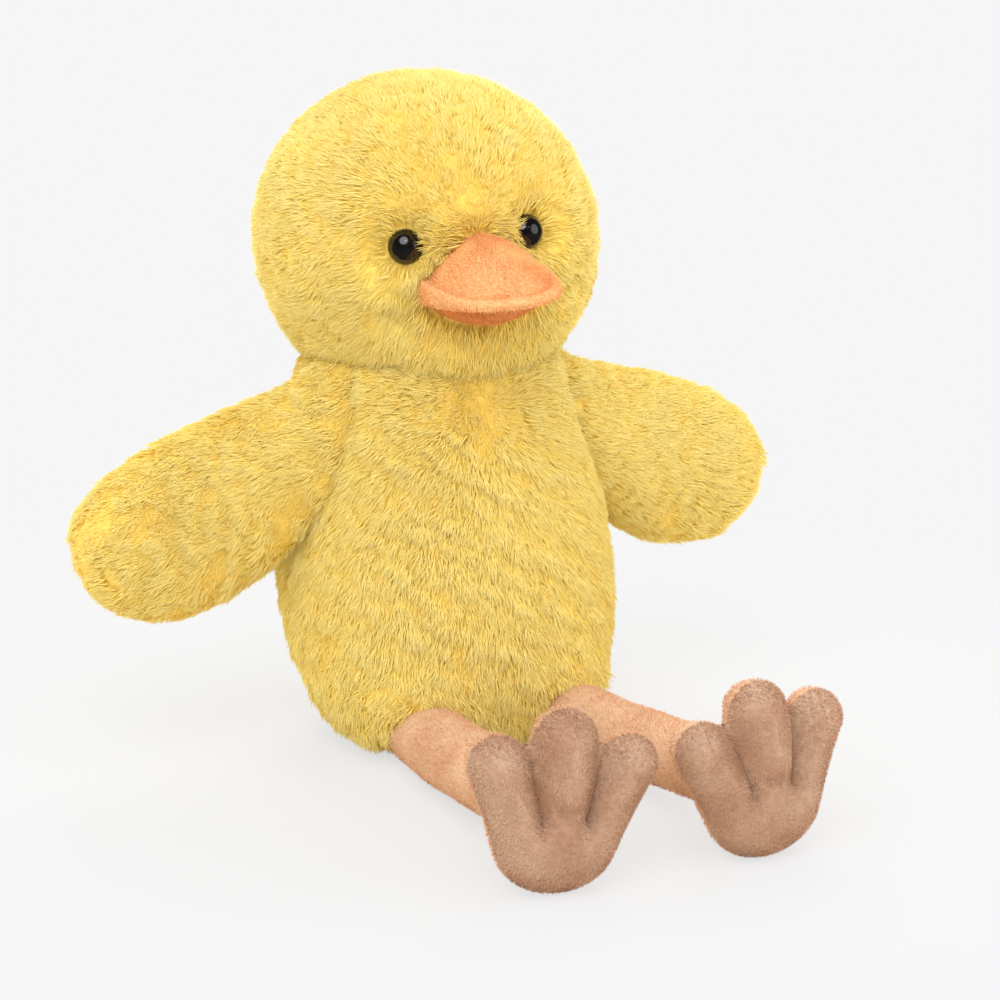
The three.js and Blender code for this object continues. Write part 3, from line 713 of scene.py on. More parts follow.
class CHICK_OT_head_fur(bpy.types.Operator):
    """Grow the fur of the head on its face panel and its back panel"""

    bl_idname = "chick.head_fur"
    bl_label = "Head Fur"

    def execute(self, context):
        head, fur = settings("head"), settings("fur")
        middle = joint_point("head_nod")
        axes = head_axes()
        pile = fur.thickness - fur.cloth
        source = placed(axes, middle, np.array((head.beak_shift, -head.radius, 4 * MM)))
        eyes = [middle + eye_aim(side) * (head.radius - pile) for side in SIDES]

        def comb(points, normals):
            """Away from the root of the beak and from the eyes, and a little down."""
            flow = unit(across_normal(points - source, normals)) - 0.2 * UP
            for eye in eyes:
                away = points - eye
                near = np.exp(-((np.linalg.norm(away, axis=-1, keepdims=True) / (10 * MM)) ** 2))
                flow = flow * (1 - near) + 0.9 * near * unit(away)
            return flow

        def depth(points):
            """The whole pile, clipped shorter round the eyes and the beak."""
            return pile * (0.6 + 0.4 * ease(face_clearance(points) / (11 * MM)))

        def room(points):
            """The under-fur lies low round the eyes and the beak."""
            return 0.3 + 0.7 * ease(face_clearance(points) / (8 * MM))

        def keep(points):
            """No tufts under the eyes and the beak, nor where the head lies on the body."""
            hidden = (points - middle) @ axes[2] < -HIDDEN_CHIN * head.radius
            return (face_clearance(points) > -0.8 * MM) & ~hidden

        for name, node, side, tufts, seed, broad in (
            ("head_face_fur", "head_face_panel", -1, fur.face_tufts, 11, 1.0),
            ("head_back_fur", "head_back_panel", 1, fur.nape_tufts, 12, 1.5),
        ):
            def skin(a, b, inset, side=side):
                """Half of the head's cloth, at an inset below its outer side."""
                return head_form(half_ball(a, b, side), pile + inset)

            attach(fur_panel(name, node, skin, middle, tufts, comb, depth, keep, seed, room, broad), "head")
        return {"FINISHED"}


def spine(height):
    """How far the middle of the body lies to the back at a height."""
    return height * math.tan(settings("body").lean)


def body_half_width(height):
    """Half width of the body: a rounded swell from the seat to the belly, then a slow draw to the neck."""
    body = settings("body")
    rise = np.clip(height / body.belly_height, 0, 1)
    lower = body.seat_radius + (body.belly_radius - body.seat_radius) * rounded(1 - rise, BODY_SWELL)
    climb = np.clip((height - body.belly_height) / (body.neck_height - body.belly_height), 0, 1)
    upper = body.neck_radius + (body.belly_radius - body.neck_radius) * np.cos(climb * math.pi / 2)
    return np.where(height < body.belly_height, lower, upper)


def body_form(height, turn, inset):
    """The body at a height and a turn about its leaning spine, with a squarish section."""
    body = settings("body")
    half = body_half_width(height)
    depth = half * body.belly_depth / (2 * body.belly_radius)
    return np.stack(
        (
            (half - inset) * power(np.cos(turn), body.squareness),
            spine(height) + (depth - inset) * power(np.sin(turn), body.squareness),
            height,
        ),
        axis=-1,
    )


class CHICK_OT_body_fur(bpy.types.Operator):
    """Grow the fur of the body on its front panel, back panel and seat panel"""

    bl_idname = "chick.body_fur"
    bl_label = "Body Fur"

    def execute(self, context):
        fur, body, limb = settings("fur"), settings("body"), settings("limb")
        pile = fur.thickness - fur.cloth
        seat = SEAT_HEIGHT
        top = body.neck_height - NECK_ROOM
        middle = np.array((0, spine(0.5 * top), 0.5 * top))
        whorl = np.array((4 * MM, spine(0.8 * top) - 0.4 * body.belly_depth, 0.83 * top))
        hips = [joint_point(f"{side}_leg_swing") - limb.leg_sag * UP for side in SIDES]

        def comb(points, normals):
            """Down, and away from a whorl on the chest."""
            away = points - whorl
            near = np.exp(-((np.linalg.norm(away, axis=-1, keepdims=True) / (42 * MM)) ** 2))
            return (-UP + 1.5 * near * away / (18 * MM)) * (1 - 0.7 * over_legs(points)[:, None])

        def hip_room(points):
            """Distance from the middle line of the nearer leg, for points on the front."""
            rooms = [np.linalg.norm((points - hip)[:, ::2], axis=-1) for hip in hips]
            return np.where(points[:, 1] < 0, np.min(rooms, axis=0), 1)

        def over_legs(points):
            """1 on the brow of fur just above a leg, falling off to 0 away from it."""
            brows = [hip + (0, 0, limb.leg_radius) for hip in hips]
            gaps = np.min([np.linalg.norm((points - brow)[:, ::2], axis=-1) for brow in brows], axis=0)
            return np.where(points[:, 1] < 0, np.exp(-((gaps / (11 * MM)) ** 2)), 0)

        def depth(points):
            """The whole pile, shorter under the seat and longer where it hangs over the legs."""
            return pile * (0.35 + 0.65 * ease(points[:, 2] / (14 * MM))) * (1 + 0.5 * over_legs(points))

        def keep(points):
            """No tufts where a leg comes out."""
            return hip_room(points) > 0.5 * limb.leg_radius

        for name, node, start, tufts, seed, broad in (
            ("body_front_fur", "body_front_panel", math.pi, fur.front_tufts, 21, 1.05),
            ("body_back_fur", "body_back_panel", 0, fur.back_tufts, 22, 1.5),
        ):
            def skin(a, b, inset, start=start):
                """Half of the body's cloth, with its rows closer together towards the seat."""
                height = seat + (top - seat) * np.clip(a, 0, 1) ** 1.4 + inset * (1 - a)
                return body_form(height, start + math.pi * b, pile + inset)

            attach(fur_panel(name, node, skin, middle, tufts, comb, depth, keep, seed, None, broad), "body")

        rim = body_half_width(np.array(seat)) - pile - 0.6 * MM

        def bottom(a, b, inset):
            """The seat: an oval disc that lies just over the floor."""
            across, along = disc(a, b)
            oval = body.belly_depth / (2 * body.belly_radius)
            back = spine(seat) + rim * oval * along
            return np.stack((rim * across, back, seat + inset + 0 * across), axis=-1)

        def outwards(points, normals):
            """Away from the middle of the seat."""
            return unit(points * (1, 1, 0) - (0, spine(seat), 0)) + 0.3 * UP

        def short(points):
            """The same short pile all over the seat."""
            return np.full(len(points), 2.4 * MM)

        name, node, tufts = "body_seat_fur", "body_seat_panel", fur.seat_tufts
        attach(fur_panel(name, node, bottom, middle, tufts, outwards, short, everywhere, 23), "body")
        return {"FINISHED"}


def wing_axes(side):
    """A wing's own axes: Z up along its hinge, Y level to the back and X out."""
    up = joint_axis(f"{side}_wing_swing")
    up = up * np.sign(up[2])
    back = unit(np.cross(up, (1.0, 0, 0)))
    return np.stack((np.cross(back, up), back, up))


def wing_form(side, distance, turn, inset):
    """A wing at a distance from its root and a turn about its middle line.

    Its section is an ellipse whose height and thickness swell from the root and round off at the tip.
    """
    wing = settings("wing")
    axes = wing_axes(side)
    hang = wing.right_droop if side == "right" else wing.left_droop
    droop = math.tan(hang + math.asin(abs(axes[2][0])))
    swell = slowing(distance / wing.taper)
    outer = np.clip((distance + inset - wing.span / 3) / (wing.span * 2 / 3), 0, 1)
    end = rounded(outer, WING_TIP)
    chord = (wing.root_chord + (wing.chord - wing.root_chord) * swell) / 2 * end - inset
    sewn = 1 - np.clip((distance + wing.tuck) / (12 * MM), 0, 1)
    rolled = 0.6 + 0.4 * np.sqrt(np.maximum(1 - sewn**2, 0))
    full = wing.root_share + (1 - wing.root_share) * swell
    thickness = wing.thickness / 2 * full * np.sqrt(end) * rolled - inset
    level = -droop * distance * (1 - wing.lift * distance / wing.span)
    front = wing.root_front * (1 - ease((distance + wing.tuck) / (wing.taper + wing.tuck)))
    local = np.stack(
        (
            SIDES[side] * distance,
            np.maximum(thickness, 0.4 * MM) * np.sin(turn) - front,
            level + np.maximum(chord, 0.4 * MM) * np.cos(turn),
        ),
        axis=-1,
    )
    return placed(axes, joint_point(f"{side}_wing_swing"), local)


class CHICK_OT_wing_fur(bpy.types.Operator):
    """Grow the fur of both wings on their front and back panels"""

    bl_idname = "chick.wing_fur"
    bl_label = "Wing Fur"

    def execute(self, context):
        fur, wing = settings("fur"), settings("wing")
        pile = fur.thickness - fur.cloth
        for index, (side, sign) in enumerate(SIDES.items()):
            axes = wing_axes(side)
            middle = wing_form(side, np.array(0.5 * wing.span), np.array(0.0), 0.5 * wing.chord)

            def comb(points, normals):
                """Out along the wing and a little down."""
                return sign * axes[0] - 0.55 * UP + 0 * points

            def depth(points):
                """A little less than the whole pile all over the wing."""
                return np.full(len(points), 0.9 * pile)

            for panel, start in (("front", math.pi), ("back", 0)):
                def skin(a, b, inset, start=start):
                    """Half of the wing's cloth, with its rows closer together towards the tip."""
                    distance = (wing.span - pile - inset + wing.tuck) * slowing(a) - wing.tuck
                    return wing_form(side, distance, start + math.pi * b, pile + inset)

                name, node = f"{side}_wing_{panel}_fur", f"{side}_wing_{panel}_panel"
                seed = 31 + 2 * index + (panel == "back")
                made = fur_panel(name, node, skin, middle, fur.wing_tufts, comb, depth, everywhere, seed)
                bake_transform(made)
        return {"FINISHED"}


def node_material(name):
    """A new material, its nodes, its links and its main shader."""
    material = bpy.data.materials.new(name)
    material.use_nodes = True
    tree = material.node_tree
    return material, tree.nodes, tree.links, tree.nodes["Principled BSDF"]


def ramp(nodes, stops):
    """A colour ramp through stops of position and colour."""
    made = nodes.new("ShaderNodeValToRGB")
    elements = made.color_ramp.elements
    while len(elements) < len(stops):
        elements.new(0.5)
    for element, (position, shade) in zip(elements, stops):
        element.position = position
        element.color = (*shade, 1)
    return made


def set_values(node, values):
    """Sets plain values of a node's inputs."""
    for name, value in values.items():
        node.inputs[name].default_value = value


def attribute(nodes, name):
    """A value that a mesh carries at its points."""
    made = nodes.new("ShaderNodeAttribute")
    made.attribute_name = name
    return made.outputs["Fac"]


def noise(nodes, links, scale, detail, stretch=None):
    """Soft noise over the object's own coordinates, which stretch scales along each axis."""
    place = nodes.new("ShaderNodeTexCoord").outputs["Object"]
    if stretch:
        mapping = nodes.new("ShaderNodeMapping")
        mapping.inputs["Scale"].default_value = stretch
        links.new(place, mapping.inputs["Vector"])
        place = mapping.outputs["Vector"]
    made = nodes.new("ShaderNodeTexNoise")
    set_values(made, {"Scale": scale, "Detail": detail})
    links.new(place, made.inputs["Vector"])
    return made.outputs["Fac"]


def reckon(nodes, links, operation, *terms):
    """One step of arithmetic on numbers and on outputs of other nodes."""
    made = nodes.new("ShaderNodeMath")
    made.operation = operation
    for socket, term in zip(made.inputs, terms):
        if isinstance(term, bpy.types.NodeSocket):
            links.new(term, socket)
        else:
            socket.default_value = term
    return made.outputs["Value"]


def add_bumps(nodes, links, shader, height, strength, distance):
    """Bumps in a finish, as high as another node's output says."""
    bump = nodes.new("ShaderNodeBump")
    set_values(bump, {"Strength": strength, "Distance": distance})
    links.new(height, bump.inputs["Height"])
    links.new(bump.outputs["Normal"], shader.inputs["Normal"])


def mix_shaders(nodes, links, share, first, second):
    """The first shader, or the second where the share is 1."""
    made = nodes.new("ShaderNodeMixShader")
    for socket, source in zip(made.inputs, (share, first, second)):
        links.new(source, socket)
    return made.outputs["Shader"]


def fur_material():
    """Long pile: deep gold at the roots, partly painted shade of the gaps between strands, pale yellow at the
    tips, each strand a little different.
    """
    if "yellow_fur_pile" in bpy.data.materials:
        return bpy.data.materials["yellow_fur_pile"]
    fur = settings("fur")
    material, nodes, links, shader = node_material("yellow_fur_pile")
    clumps = noise(nodes, links, 260, 4)
    strand = reckon(nodes, links, "MULTIPLY_ADD", attribute(nodes, "tint"), 0.08, attribute(nodes, "pile"))
    cloud = reckon(nodes, links, "MULTIPLY_ADD", clumps, 0.24, strand)
    level = reckon(nodes, links, "SUBTRACT", cloud, 0.12)
    shade = ramp(nodes, ((0.0, fur.root_colour), (0.5, fur.body_colour), (1.0, fur.tip_colour)))
    links.new(level, shade.inputs["Fac"])
    links.new(shade.outputs["Color"], shader.inputs["Base Color"])
    add_bumps(nodes, links, shader, clumps, 0.2, 1.2 * MM)
    set_values(shader, {"Roughness": 0.9, "Specular IOR Level": 0.06})
    return material


def velboa_material(name, shade):
    """Short brushed pile: soft patches where it lies another way, a fine grain, and paler fibre tips."""
    if name in bpy.data.materials:
        return bpy.data.materials[name]
    material, nodes, links, shader = node_material(name)
    patches = noise(nodes, links, 75, 4)
    grain = noise(nodes, links, 1000, 2, (0.55, 0.55, 1.1))
    dark = tuple(share * value for share, value in zip((0.94, 0.86, 0.82), shade))
    pale = tuple(min(share * value, 1) for share, value in zip((1.06, 1.1, 1.12), shade))
    tone = ramp(nodes, ((0.35, dark), (0.65, pale)))
    links.new(patches, tone.inputs["Fac"])
    level = reckon(nodes, links, "MULTIPLY_ADD", grain, 0.5, 0.75)
    lift = reckon(nodes, links, "MULTIPLY_ADD", attribute(nodes, "pile"), 0.2, level)
    vary = nodes.new("ShaderNodeHueSaturation")
    links.new(tone.outputs["Color"], vary.inputs["Color"])
    links.new(lift, vary.inputs["Value"])
    links.new(vary.outputs["Color"], shader.inputs["Base Color"])
    add_bumps(nodes, links, shader, grain, 0.7, 0.7 * MM)
    set_values(shader, {"Roughness": 0.85, "Specular IOR Level": 0.05})
    set_values(shader, {"Sheen Weight": 0.12, "Sheen Roughness": 0.45, "Sheen Tint": (*pale, 1)})
    return material


def mottled_material(name, shade, scale, contrast, roughness):
    """A finish whose colour and gloss change softly from place to place."""
    if name in bpy.data.materials:
        return bpy.data.materials[name]
    material, nodes, links, shader = node_material(name)
    cloud = noise(nodes, links, scale, 3)
    dark = tuple((1 - contrast) * value for value in shade)
    pale = tuple(min((1 + contrast) * value, 1) for value in shade)
    tone = ramp(nodes, ((0.3, dark), (0.7, pale)))
    links.new(cloud, tone.inputs["Fac"])
    links.new(tone.outputs["Color"], shader.inputs["Base Color"])
    gloss = reckon(nodes, links, "MULTIPLY_ADD", cloud, 0.4 * roughness, 0.8 * roughness)
    links.new(gloss, shader.inputs["Roughness"])
    return material


def eye_material():
    """Black moulded plastic with a clear polish that is a little worn here and there."""
    material = mottled_material("eye_black_finish", (0.006, 0.005, 0.005), 400, 0.4, 0.12)
    set_values(material.node_tree.nodes["Principled BSDF"], {"Coat Weight": 0.4, "Coat Roughness": 0.04})
    return material


class CHICK_OT_eyes(bpy.types.Operator):
    """Turn both eyes with their shanks, and finish the lock washers behind them"""

    bl_idname = "chick.eyes"
    bl_label = "Eyes"

    def execute(self, context):
        head, fur = settings("head"), settings("fur")
        seat = head.radius - fur.thickness + fur.cloth + 0.3 * MM
        swing = np.linspace(0.03, math.pi / 2, 28)
        wide, shank = head.eye_radius, head.shank_radius
        profile = np.concatenate(
            (
                np.stack((wide * np.sin(swing), head.eye_dome * np.cos(swing)), axis=-1),
                (
                    (0.97 * wide, -0.3 * MM),
                    (0.9 * wide, -0.5 * MM),
                    (1.4 * shank, -0.5 * MM),
                    (shank, -0.9 * MM),
                    (shank, 0.8 * MM - head.shank_length),
                    (0.6 * shank, -head.shank_length),
                ),
            )
        )
        turn = np.linspace(0, 2 * math.pi, 64, endpoint=False)[:, None]
        washer_finish = mottled_material("washer_plastic_finish", (0.62, 0.62, 0.6), 300, 0.06, 0.4)
        for side in SIDES:
            out = eye_aim(side)
            across = unit(np.cross(UP, out))
            rings = profile[:, :1, None] * (np.cos(turn) * across + np.sin(turn) * np.cross(out, across))
            grid = joint_point("head_nod") + rings + (seat + profile[:, 1, None, None]) * out
            made = piece(f"{side}_eye_dome", [closed_form(grid)], eye_material())
            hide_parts(f"{side}_eye")
            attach(made, "head")
            washer = frame["nodes"][f"{side}_eye_washer"]
            washer.data.materials.clear()
            washer.data.materials.append(washer_finish)
        return {"FINISHED"}


def grow_fuzz(surface, middle, total, comb, seed, long=1.0):
    """Short pile: straight fibres that lean along the comb, spread evenly over a surface."""
    cloth = settings("cloth")
    rng = np.random.default_rng(seed)
    roots, normals = facing(surface, *scatter(surface, total, rng), middle)
    flow = comb / np.linalg.norm(comb) + 0.3 * wave_vectors(roots, 14 * MM, rng)
    heading = unit(unit(across_normal(flow, normals)) + 0.4 * rng.normal(size=roots.shape))
    lengths = long * cloth.fuzz * rng.uniform(0.6, 1.15, (total, 1))
    tips = roots + lengths * unit(normals + 0.8 * heading)
    bottoms = roots - 0.3 * MM * normals
    waists = roots + 0.4 * (tips - roots) + 0.1 * MM * normals
    for points in (bottoms, waists, tips):
        points[:, 2] = np.maximum(points[:, 2], FIBRE_FLOOR)
    tint = rng.normal(0, 0.5, total)
    return strands(bottoms, waists, tips, cloth.fuzz_width, tint, 0.4, SHORT_MAP[1])


def beak_root(across, up):
    """How far to the front the cloth of the face lies behind a place in the beak, less a seam's depth."""
    head, fur = settings("head"), settings("fur")
    skin = head.radius - fur.thickness + fur.cloth
    aside, level = across + head.beak_shift, up + head.mouth_level
    return np.sqrt(np.maximum(skin**2 - aside**2 - level**2, (0.4 * skin) ** 2)) - 2 * MM


def beak_form(along, turn, inset):
    """The beak at a share of its length and a turn about its middle line: a roofed tongue, flatter below.

    Its root follows the round of the face. Its lower side is drawn in by a dart along the middle, towards
    the tip.
    """
    head = settings("head")
    spread = head.beak_width / 2 * np.sqrt(np.maximum(1 - along**2.6, 0)) - inset
    height = np.where(np.sin(turn) > 0, head.beak_rise, head.beak_drop)
    dart = 0.16 * np.exp(-((np.cos(turn) / 0.07) ** 2)) * ease((along - 0.45) / 0.2) * (np.sin(turn) < 0)
    swell = height * np.sqrt(np.maximum(1 - along**1.7, 0)) * (1 - dart) - inset
    across = np.maximum(spread, 0.1 * MM) * power(np.cos(turn), head.beak_roof)
    up = np.maximum(swell, 0.1 * MM) * power(np.sin(turn), head.beak_roof)
    root = beak_root(across, up)
    reach = head.radius + head.beak_length - root - inset
    ahead = root + reach * along * (1 - 0.16 * np.sqrt(np.maximum(-np.sin(turn), 0)))
    return placed(head_axes(), beak_middle(), np.stack((across, -ahead, up), axis=-1))


class CHICK_OT_beak(bpy.types.Operator):
    """Sew the beak: its upper and lower panels and the turned seam along the mouth"""

    bl_idname = "chick.beak"
    bl_label = "Beak"

    def execute(self, context):
        head, cloth = settings("head"), settings("cloth")
        axes = head_axes()
        finish = velboa_material("orange_velboa_pile", tuple(cloth.orange))
        # The lower panel's darker orange is painted shade on the same cloth as the upper panel
        deep = velboa_material("deep_orange_velboa_pile", tuple(cloth.painted_shade_orange))
        middle = placed(axes, beak_middle(), np.array((0, -0.9 * head.radius, 0)))
        for panel, start, fibres, seed, look in (
            ("upper", 0, 7500, 41, finish),
            ("lower", math.pi, 5000, 42, deep),
        ):
            def surface(a, b, inset=0.0, start=start):
                """Half of the beak, with its rows closer together towards the tip."""
                return beak_form(BEAK_END * slowing(a), start + math.pi * b, inset)

            outer = patch_grid(surface, 48, 64)
            inner = patch_grid(lambda a, b: surface(a, b, BEAK_CLOTH), 48, 64)
            shell = cloth_patch(outer, inner, SHORT_MAP[0])
            fuzz = grow_fuzz(surface, middle, fibres, -axes[1], seed)
            made = piece(f"beak_{panel}_velboa", [shell, fuzz], look)
            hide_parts(f"beak_{panel}_panel")
            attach(made, "head")

        tip = head.radius + head.beak_length

        def welt(a, b):
            """The turned seam: an oval cord along the mouth, taller and lifted at its corners."""
            swing = (2 * a - 1) * math.pi / 2
            corner = np.abs(np.sin(swing)) ** 5
            spread = np.sqrt(np.maximum(1 - np.abs(np.cos(swing)) ** 2.6, 0))
            across = head.beak_width / 2 * np.sign(swing) * spread
            root = beak_root(across, 0)
            end = np.sqrt(np.maximum(1 - np.maximum((np.abs(2 * a - 1) - 0.95) / 0.05, 0) ** 2, 0.02))
            high = head.welt_radius * (0.62 + 0.9 * corner) * end
            deep = head.welt_radius * (1.15 - 0.7 * corner) * end
            outward = np.cos(2 * math.pi * b) * deep
            local = (
                across + outward * np.sin(swing),
                -(root + (tip - root) * np.cos(swing)) - outward * np.cos(swing),
                1.6 * MM * corner + high * np.sin(2 * math.pi * b),
            )
            return placed(axes, beak_middle(), np.stack(local, axis=-1))

        cord = closed_form(rounds(welt, 96, 24), SHORT_MAP[0])
        fuzz = grow_fuzz(welt, middle, 4500, -axes[2] - 0.5 * axes[1], 43, 1.2)
        made = piece("beak_welt", [cord, fuzz], finish)
        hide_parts("beak_seam_edge")
        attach(made, "head")
        return {"FINISHED"}


def leg_form(side, distance, turn, inset):
    """A leg at a distance from its hip and a turn about its middle line: a tube that narrows to the ankle."""
    limb = settings("limb")
    hip, ankle = joint_point(f"{side}_leg_swing"), joint_point(f"{side}_ankle_bend")
    along = unit(ankle - hip)
    across = unit(np.cross(along, UP))
    above = np.cross(across, along)
    share = np.clip(distance / np.linalg.norm(ankle - hip), 0, 1)
    radius = (limb.leg_radius + (limb.ankle_radius - limb.leg_radius) * share - inset)[..., None]
    ring = np.cos(turn)[..., None] * across + np.sin(turn)[..., None] * above
    sag = (limb.leg_sag * (1 - share))[..., None] * UP
    return hip + distance[..., None] * along + radius * ring - sag


class CHICK_OT_legs(bpy.types.Operator):
    """Sew the sleeves of both legs"""

    bl_idname = "chick.legs"
    bl_label = "Legs"

    def execute(self, context):
        limb, cloth = settings("limb"), settings("cloth")
        finish = velboa_material("tan_velboa_pile", tuple(cloth.tan))
        for index, side in enumerate(SIDES):
            hip, ankle = joint_point(f"{side}_leg_swing"), joint_point(f"{side}_ankle_bend")
            reach = np.linalg.norm(ankle - hip) + limb.ankle_tuck + limb.leg_tuck
            rng = np.random.default_rng(51 + index)
            start = rng.uniform(0, 2 * math.pi, 4)

            def surface(a, b, inset=0.0):
                """The sleeve with soft rings and dents where the cloth gives."""
                distance = reach * a - limb.leg_tuck
                turn = 2 * math.pi * b
                ripple = np.sin(distance / (5.5 * MM) + 0.8 * np.sin(turn + start[0]) + start[1])
                dent = np.sin(distance / (13 * MM) + 2 * np.sin(turn + start[2]) + start[3])
                return leg_form(side, distance, turn, inset + 0.22 * MM * ripple + 0.4 * MM * dent)

            outer = rounds(surface, 80, 72)
            inner = rounds(lambda a, b: surface(a, b, limb.cloth), 80, 72)
            sleeve = cloth_tube(outer, inner, SHORT_MAP[0])
            fuzz = grow_fuzz(surface, 0.5 * (hip + ankle), 9000, ankle - hip, 53 + index)
            made = piece(f"{side}_leg_velboa", [sleeve, fuzz], finish)
            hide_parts(f"{side}_leg_sleeve")
            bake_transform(made)
        return {"FINISHED"}


def foot_axes(side):
    """A foot's own axes: X across, Y to the back and Z up to the toes."""
    limb = settings("limb")
    turn, roll = SIDES[side] * limb.splay, -SIDES[side] * limb.foot_roll
    across = (math.cos(turn) * math.cos(roll), math.sin(turn) * math.cos(roll), -math.sin(roll))
    back = (-math.sin(turn), math.cos(turn), 0)
    return np.array((across, back, np.cross(across, back)))


def foot_depth(x, z):
    """How far a place in a foot's pattern lies inside its outline: three toes that run softly together."""
    limb = settings("limb")
    total = 0
    for sign in (-1, 0, 1):
        toe = limb.outer_toe if sign else limb.middle_toe
        root = limb.outer_heel_radius if sign else limb.heel_radius
        tip = limb.toe_radius if sign else limb.middle_toe_radius
        lean = sign * limb.toe_fan
        right, up = x - sign * limb.toe_spacing / 2, z + limb.ankle_height - limb.heel_radius
        along = np.clip(right * math.sin(lean) + up * math.cos(lean), 0, toe - tip)
        radius = root + (tip - root) * along / (toe - tip)
        room = radius - np.hypot(right - along * math.sin(lean), up - along * math.cos(lean))
        total = total + np.exp(room / limb.web)
    return limb.web * np.log(total) - 2 * MM


def foot_reach(turn):
    """Distance from the middle of a foot to its outline in a direction, found by halving."""
    low, high = np.full(turn.shape, 5 * MM), np.full(turn.shape, 50 * MM)
    for _ in range(30):
        half = (low + high) / 2
        inside = foot_depth(half * np.sin(turn), FOOT_MIDDLE + half * np.cos(turn)) > 0
        low, high = np.where(inside, half, low), np.where(inside, high, half)
    return low


def channel_room(x, z):
    """Distance from the sewn lines of a foot: one beside each edge of the middle toe, and one below it."""
    side = np.abs(x)
    low, high = np.array(CHANNEL_LOW), np.array(CHANNEL_HIGH)
    line = high - low
    share = np.clip(((side - low[0]) * line[0] + (z - low[1]) * line[1]) / (line @ line), 0, 1)
    beside = np.hypot(side - low[0] - share * line[0], z - low[1] - share * line[1])
    below = np.hypot(np.maximum(side - 6 * MM, 0), z - 6 * MM - 0.04 * side**2 / MM)
    return beside, below


def dip(distance):
    """A crease between two round cushions: 1 on its line and 0 one width away."""
    gone = 1 - np.clip(distance, 0, 1)
    return 0.6 * gone**2 + 0.4 * (1 - np.sqrt(np.maximum(1 - gone**2, 0)))


def foot_form(side, share, turn, facing_side, inset):
    """A foot at a share of the way from its middle to its outline and a turn in its pattern.

    Its height over the seam is a round pillow, drawn in along the sewn lines.
    """
    limb = settings("limb")
    reach = (foot_reach(turn) - inset) * share
    x, z = reach * np.sin(turn), FOOT_MIDDLE + reach * np.cos(turn)
    edge = np.clip(foot_depth(x, z) - inset, 0, limb.foot_edge) / limb.foot_edge
    pillow = np.sqrt(np.maximum(1 - (1 - edge) ** 2, 0))
    beside, below = channel_room(x, z)
    drawn = limb.channel * dip(beside / limb.channel_width)
    drawn = np.maximum(drawn, 0.26 * np.exp(-((below / (3.2 * MM)) ** 2)) * (facing_side < 0))
    swell = 1 + 0.05 * np.sin(x / (6 * MM) + 1) * np.sin(z / (7 * MM))
    height = (limb.foot_thickness / 2 - inset) * pillow * (1 - drawn) * swell
    set_off = limb.foot_thickness / 2 + limb.ankle_radius * math.sin(limb.ankle_bend)
    local = np.stack((x, facing_side * height - set_off, z), axis=-1)
    return placed(foot_axes(side), joint_point(f"{side}_ankle_bend"), local)


class CHICK_OT_feet(bpy.types.Operator):
    """Sew both feet: their sole and upper panels"""

    bl_idname = "chick.feet"
    bl_label = "Feet"

    def execute(self, context):
        limb, cloth = settings("limb"), settings("cloth")
        shares = slowing(np.linspace(0.02, 1, 36))
        turns = np.linspace(0, 2 * math.pi, 132, endpoint=False)
        for index, side in enumerate(SIDES):
            axes = foot_axes(side)
            ankle = joint_point(f"{side}_ankle_bend")
            for panel, facing_side, finish, shade, fibres in (
                ("sole", -1, "rose_velboa", cloth.rose, 15000),
                ("upper", 1, "tan_velboa", cloth.tan, 5000),
            ):
                def surface(a, b, facing_side=facing_side):
                    """One side of the foot, with its rows closer together towards the seam."""
                    return foot_form(side, slowing(a), 2 * math.pi * b, facing_side, 0.0)

                across, around = np.meshgrid(shares, turns, indexing="ij")
                outer = foot_form(side, across, around, facing_side, 0.0)
                inner = foot_form(side, across, around, facing_side, limb.cloth)
                shell = closed_form(np.concatenate((outer, inner[::-1])), SHORT_MAP[0])
                middle = placed(axes, ankle, np.array((0, -limb.foot_thickness / 2, FOOT_MIDDLE)))
                fuzz = grow_fuzz(surface, middle, fibres, -axes[2], 61 + 2 * index + (facing_side > 0))
                look = velboa_material(f"{finish}_pile", tuple(shade))
                made = piece(f"{side}_foot_{panel}_velboa", [shell, fuzz], look)
                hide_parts(f"{side}_foot_{panel}_panel")
                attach(made, f"{side}_foot")
        return {"FINISHED"}


def twisted_cord(path, radius, ahead=None):
    """A two-ply thread along a path: a round section that is pinched twice and turns as it goes."""
    along = unit(np.gradient(path, axis=0)) if ahead is None else ahead
    across = unit(np.cross(along, (0.3, 0.9, 0.2)))
    above = np.cross(along, across)
    turn = np.linspace(0, 2 * math.pi, 12, endpoint=False)[None, :, None]
    length_so_far = np.concatenate(((0,), np.cumsum(np.linalg.norm(np.diff(path, axis=0), axis=-1))))
    twist = 2 * math.pi * length_so_far[:, None, None] / (6 * radius)
    ply = radius * (0.84 + 0.16 * np.cos(2 * turn - twist))
    return path[:, None] + ply * (np.cos(turn) * across[:, None] + np.sin(turn) * above[:, None])


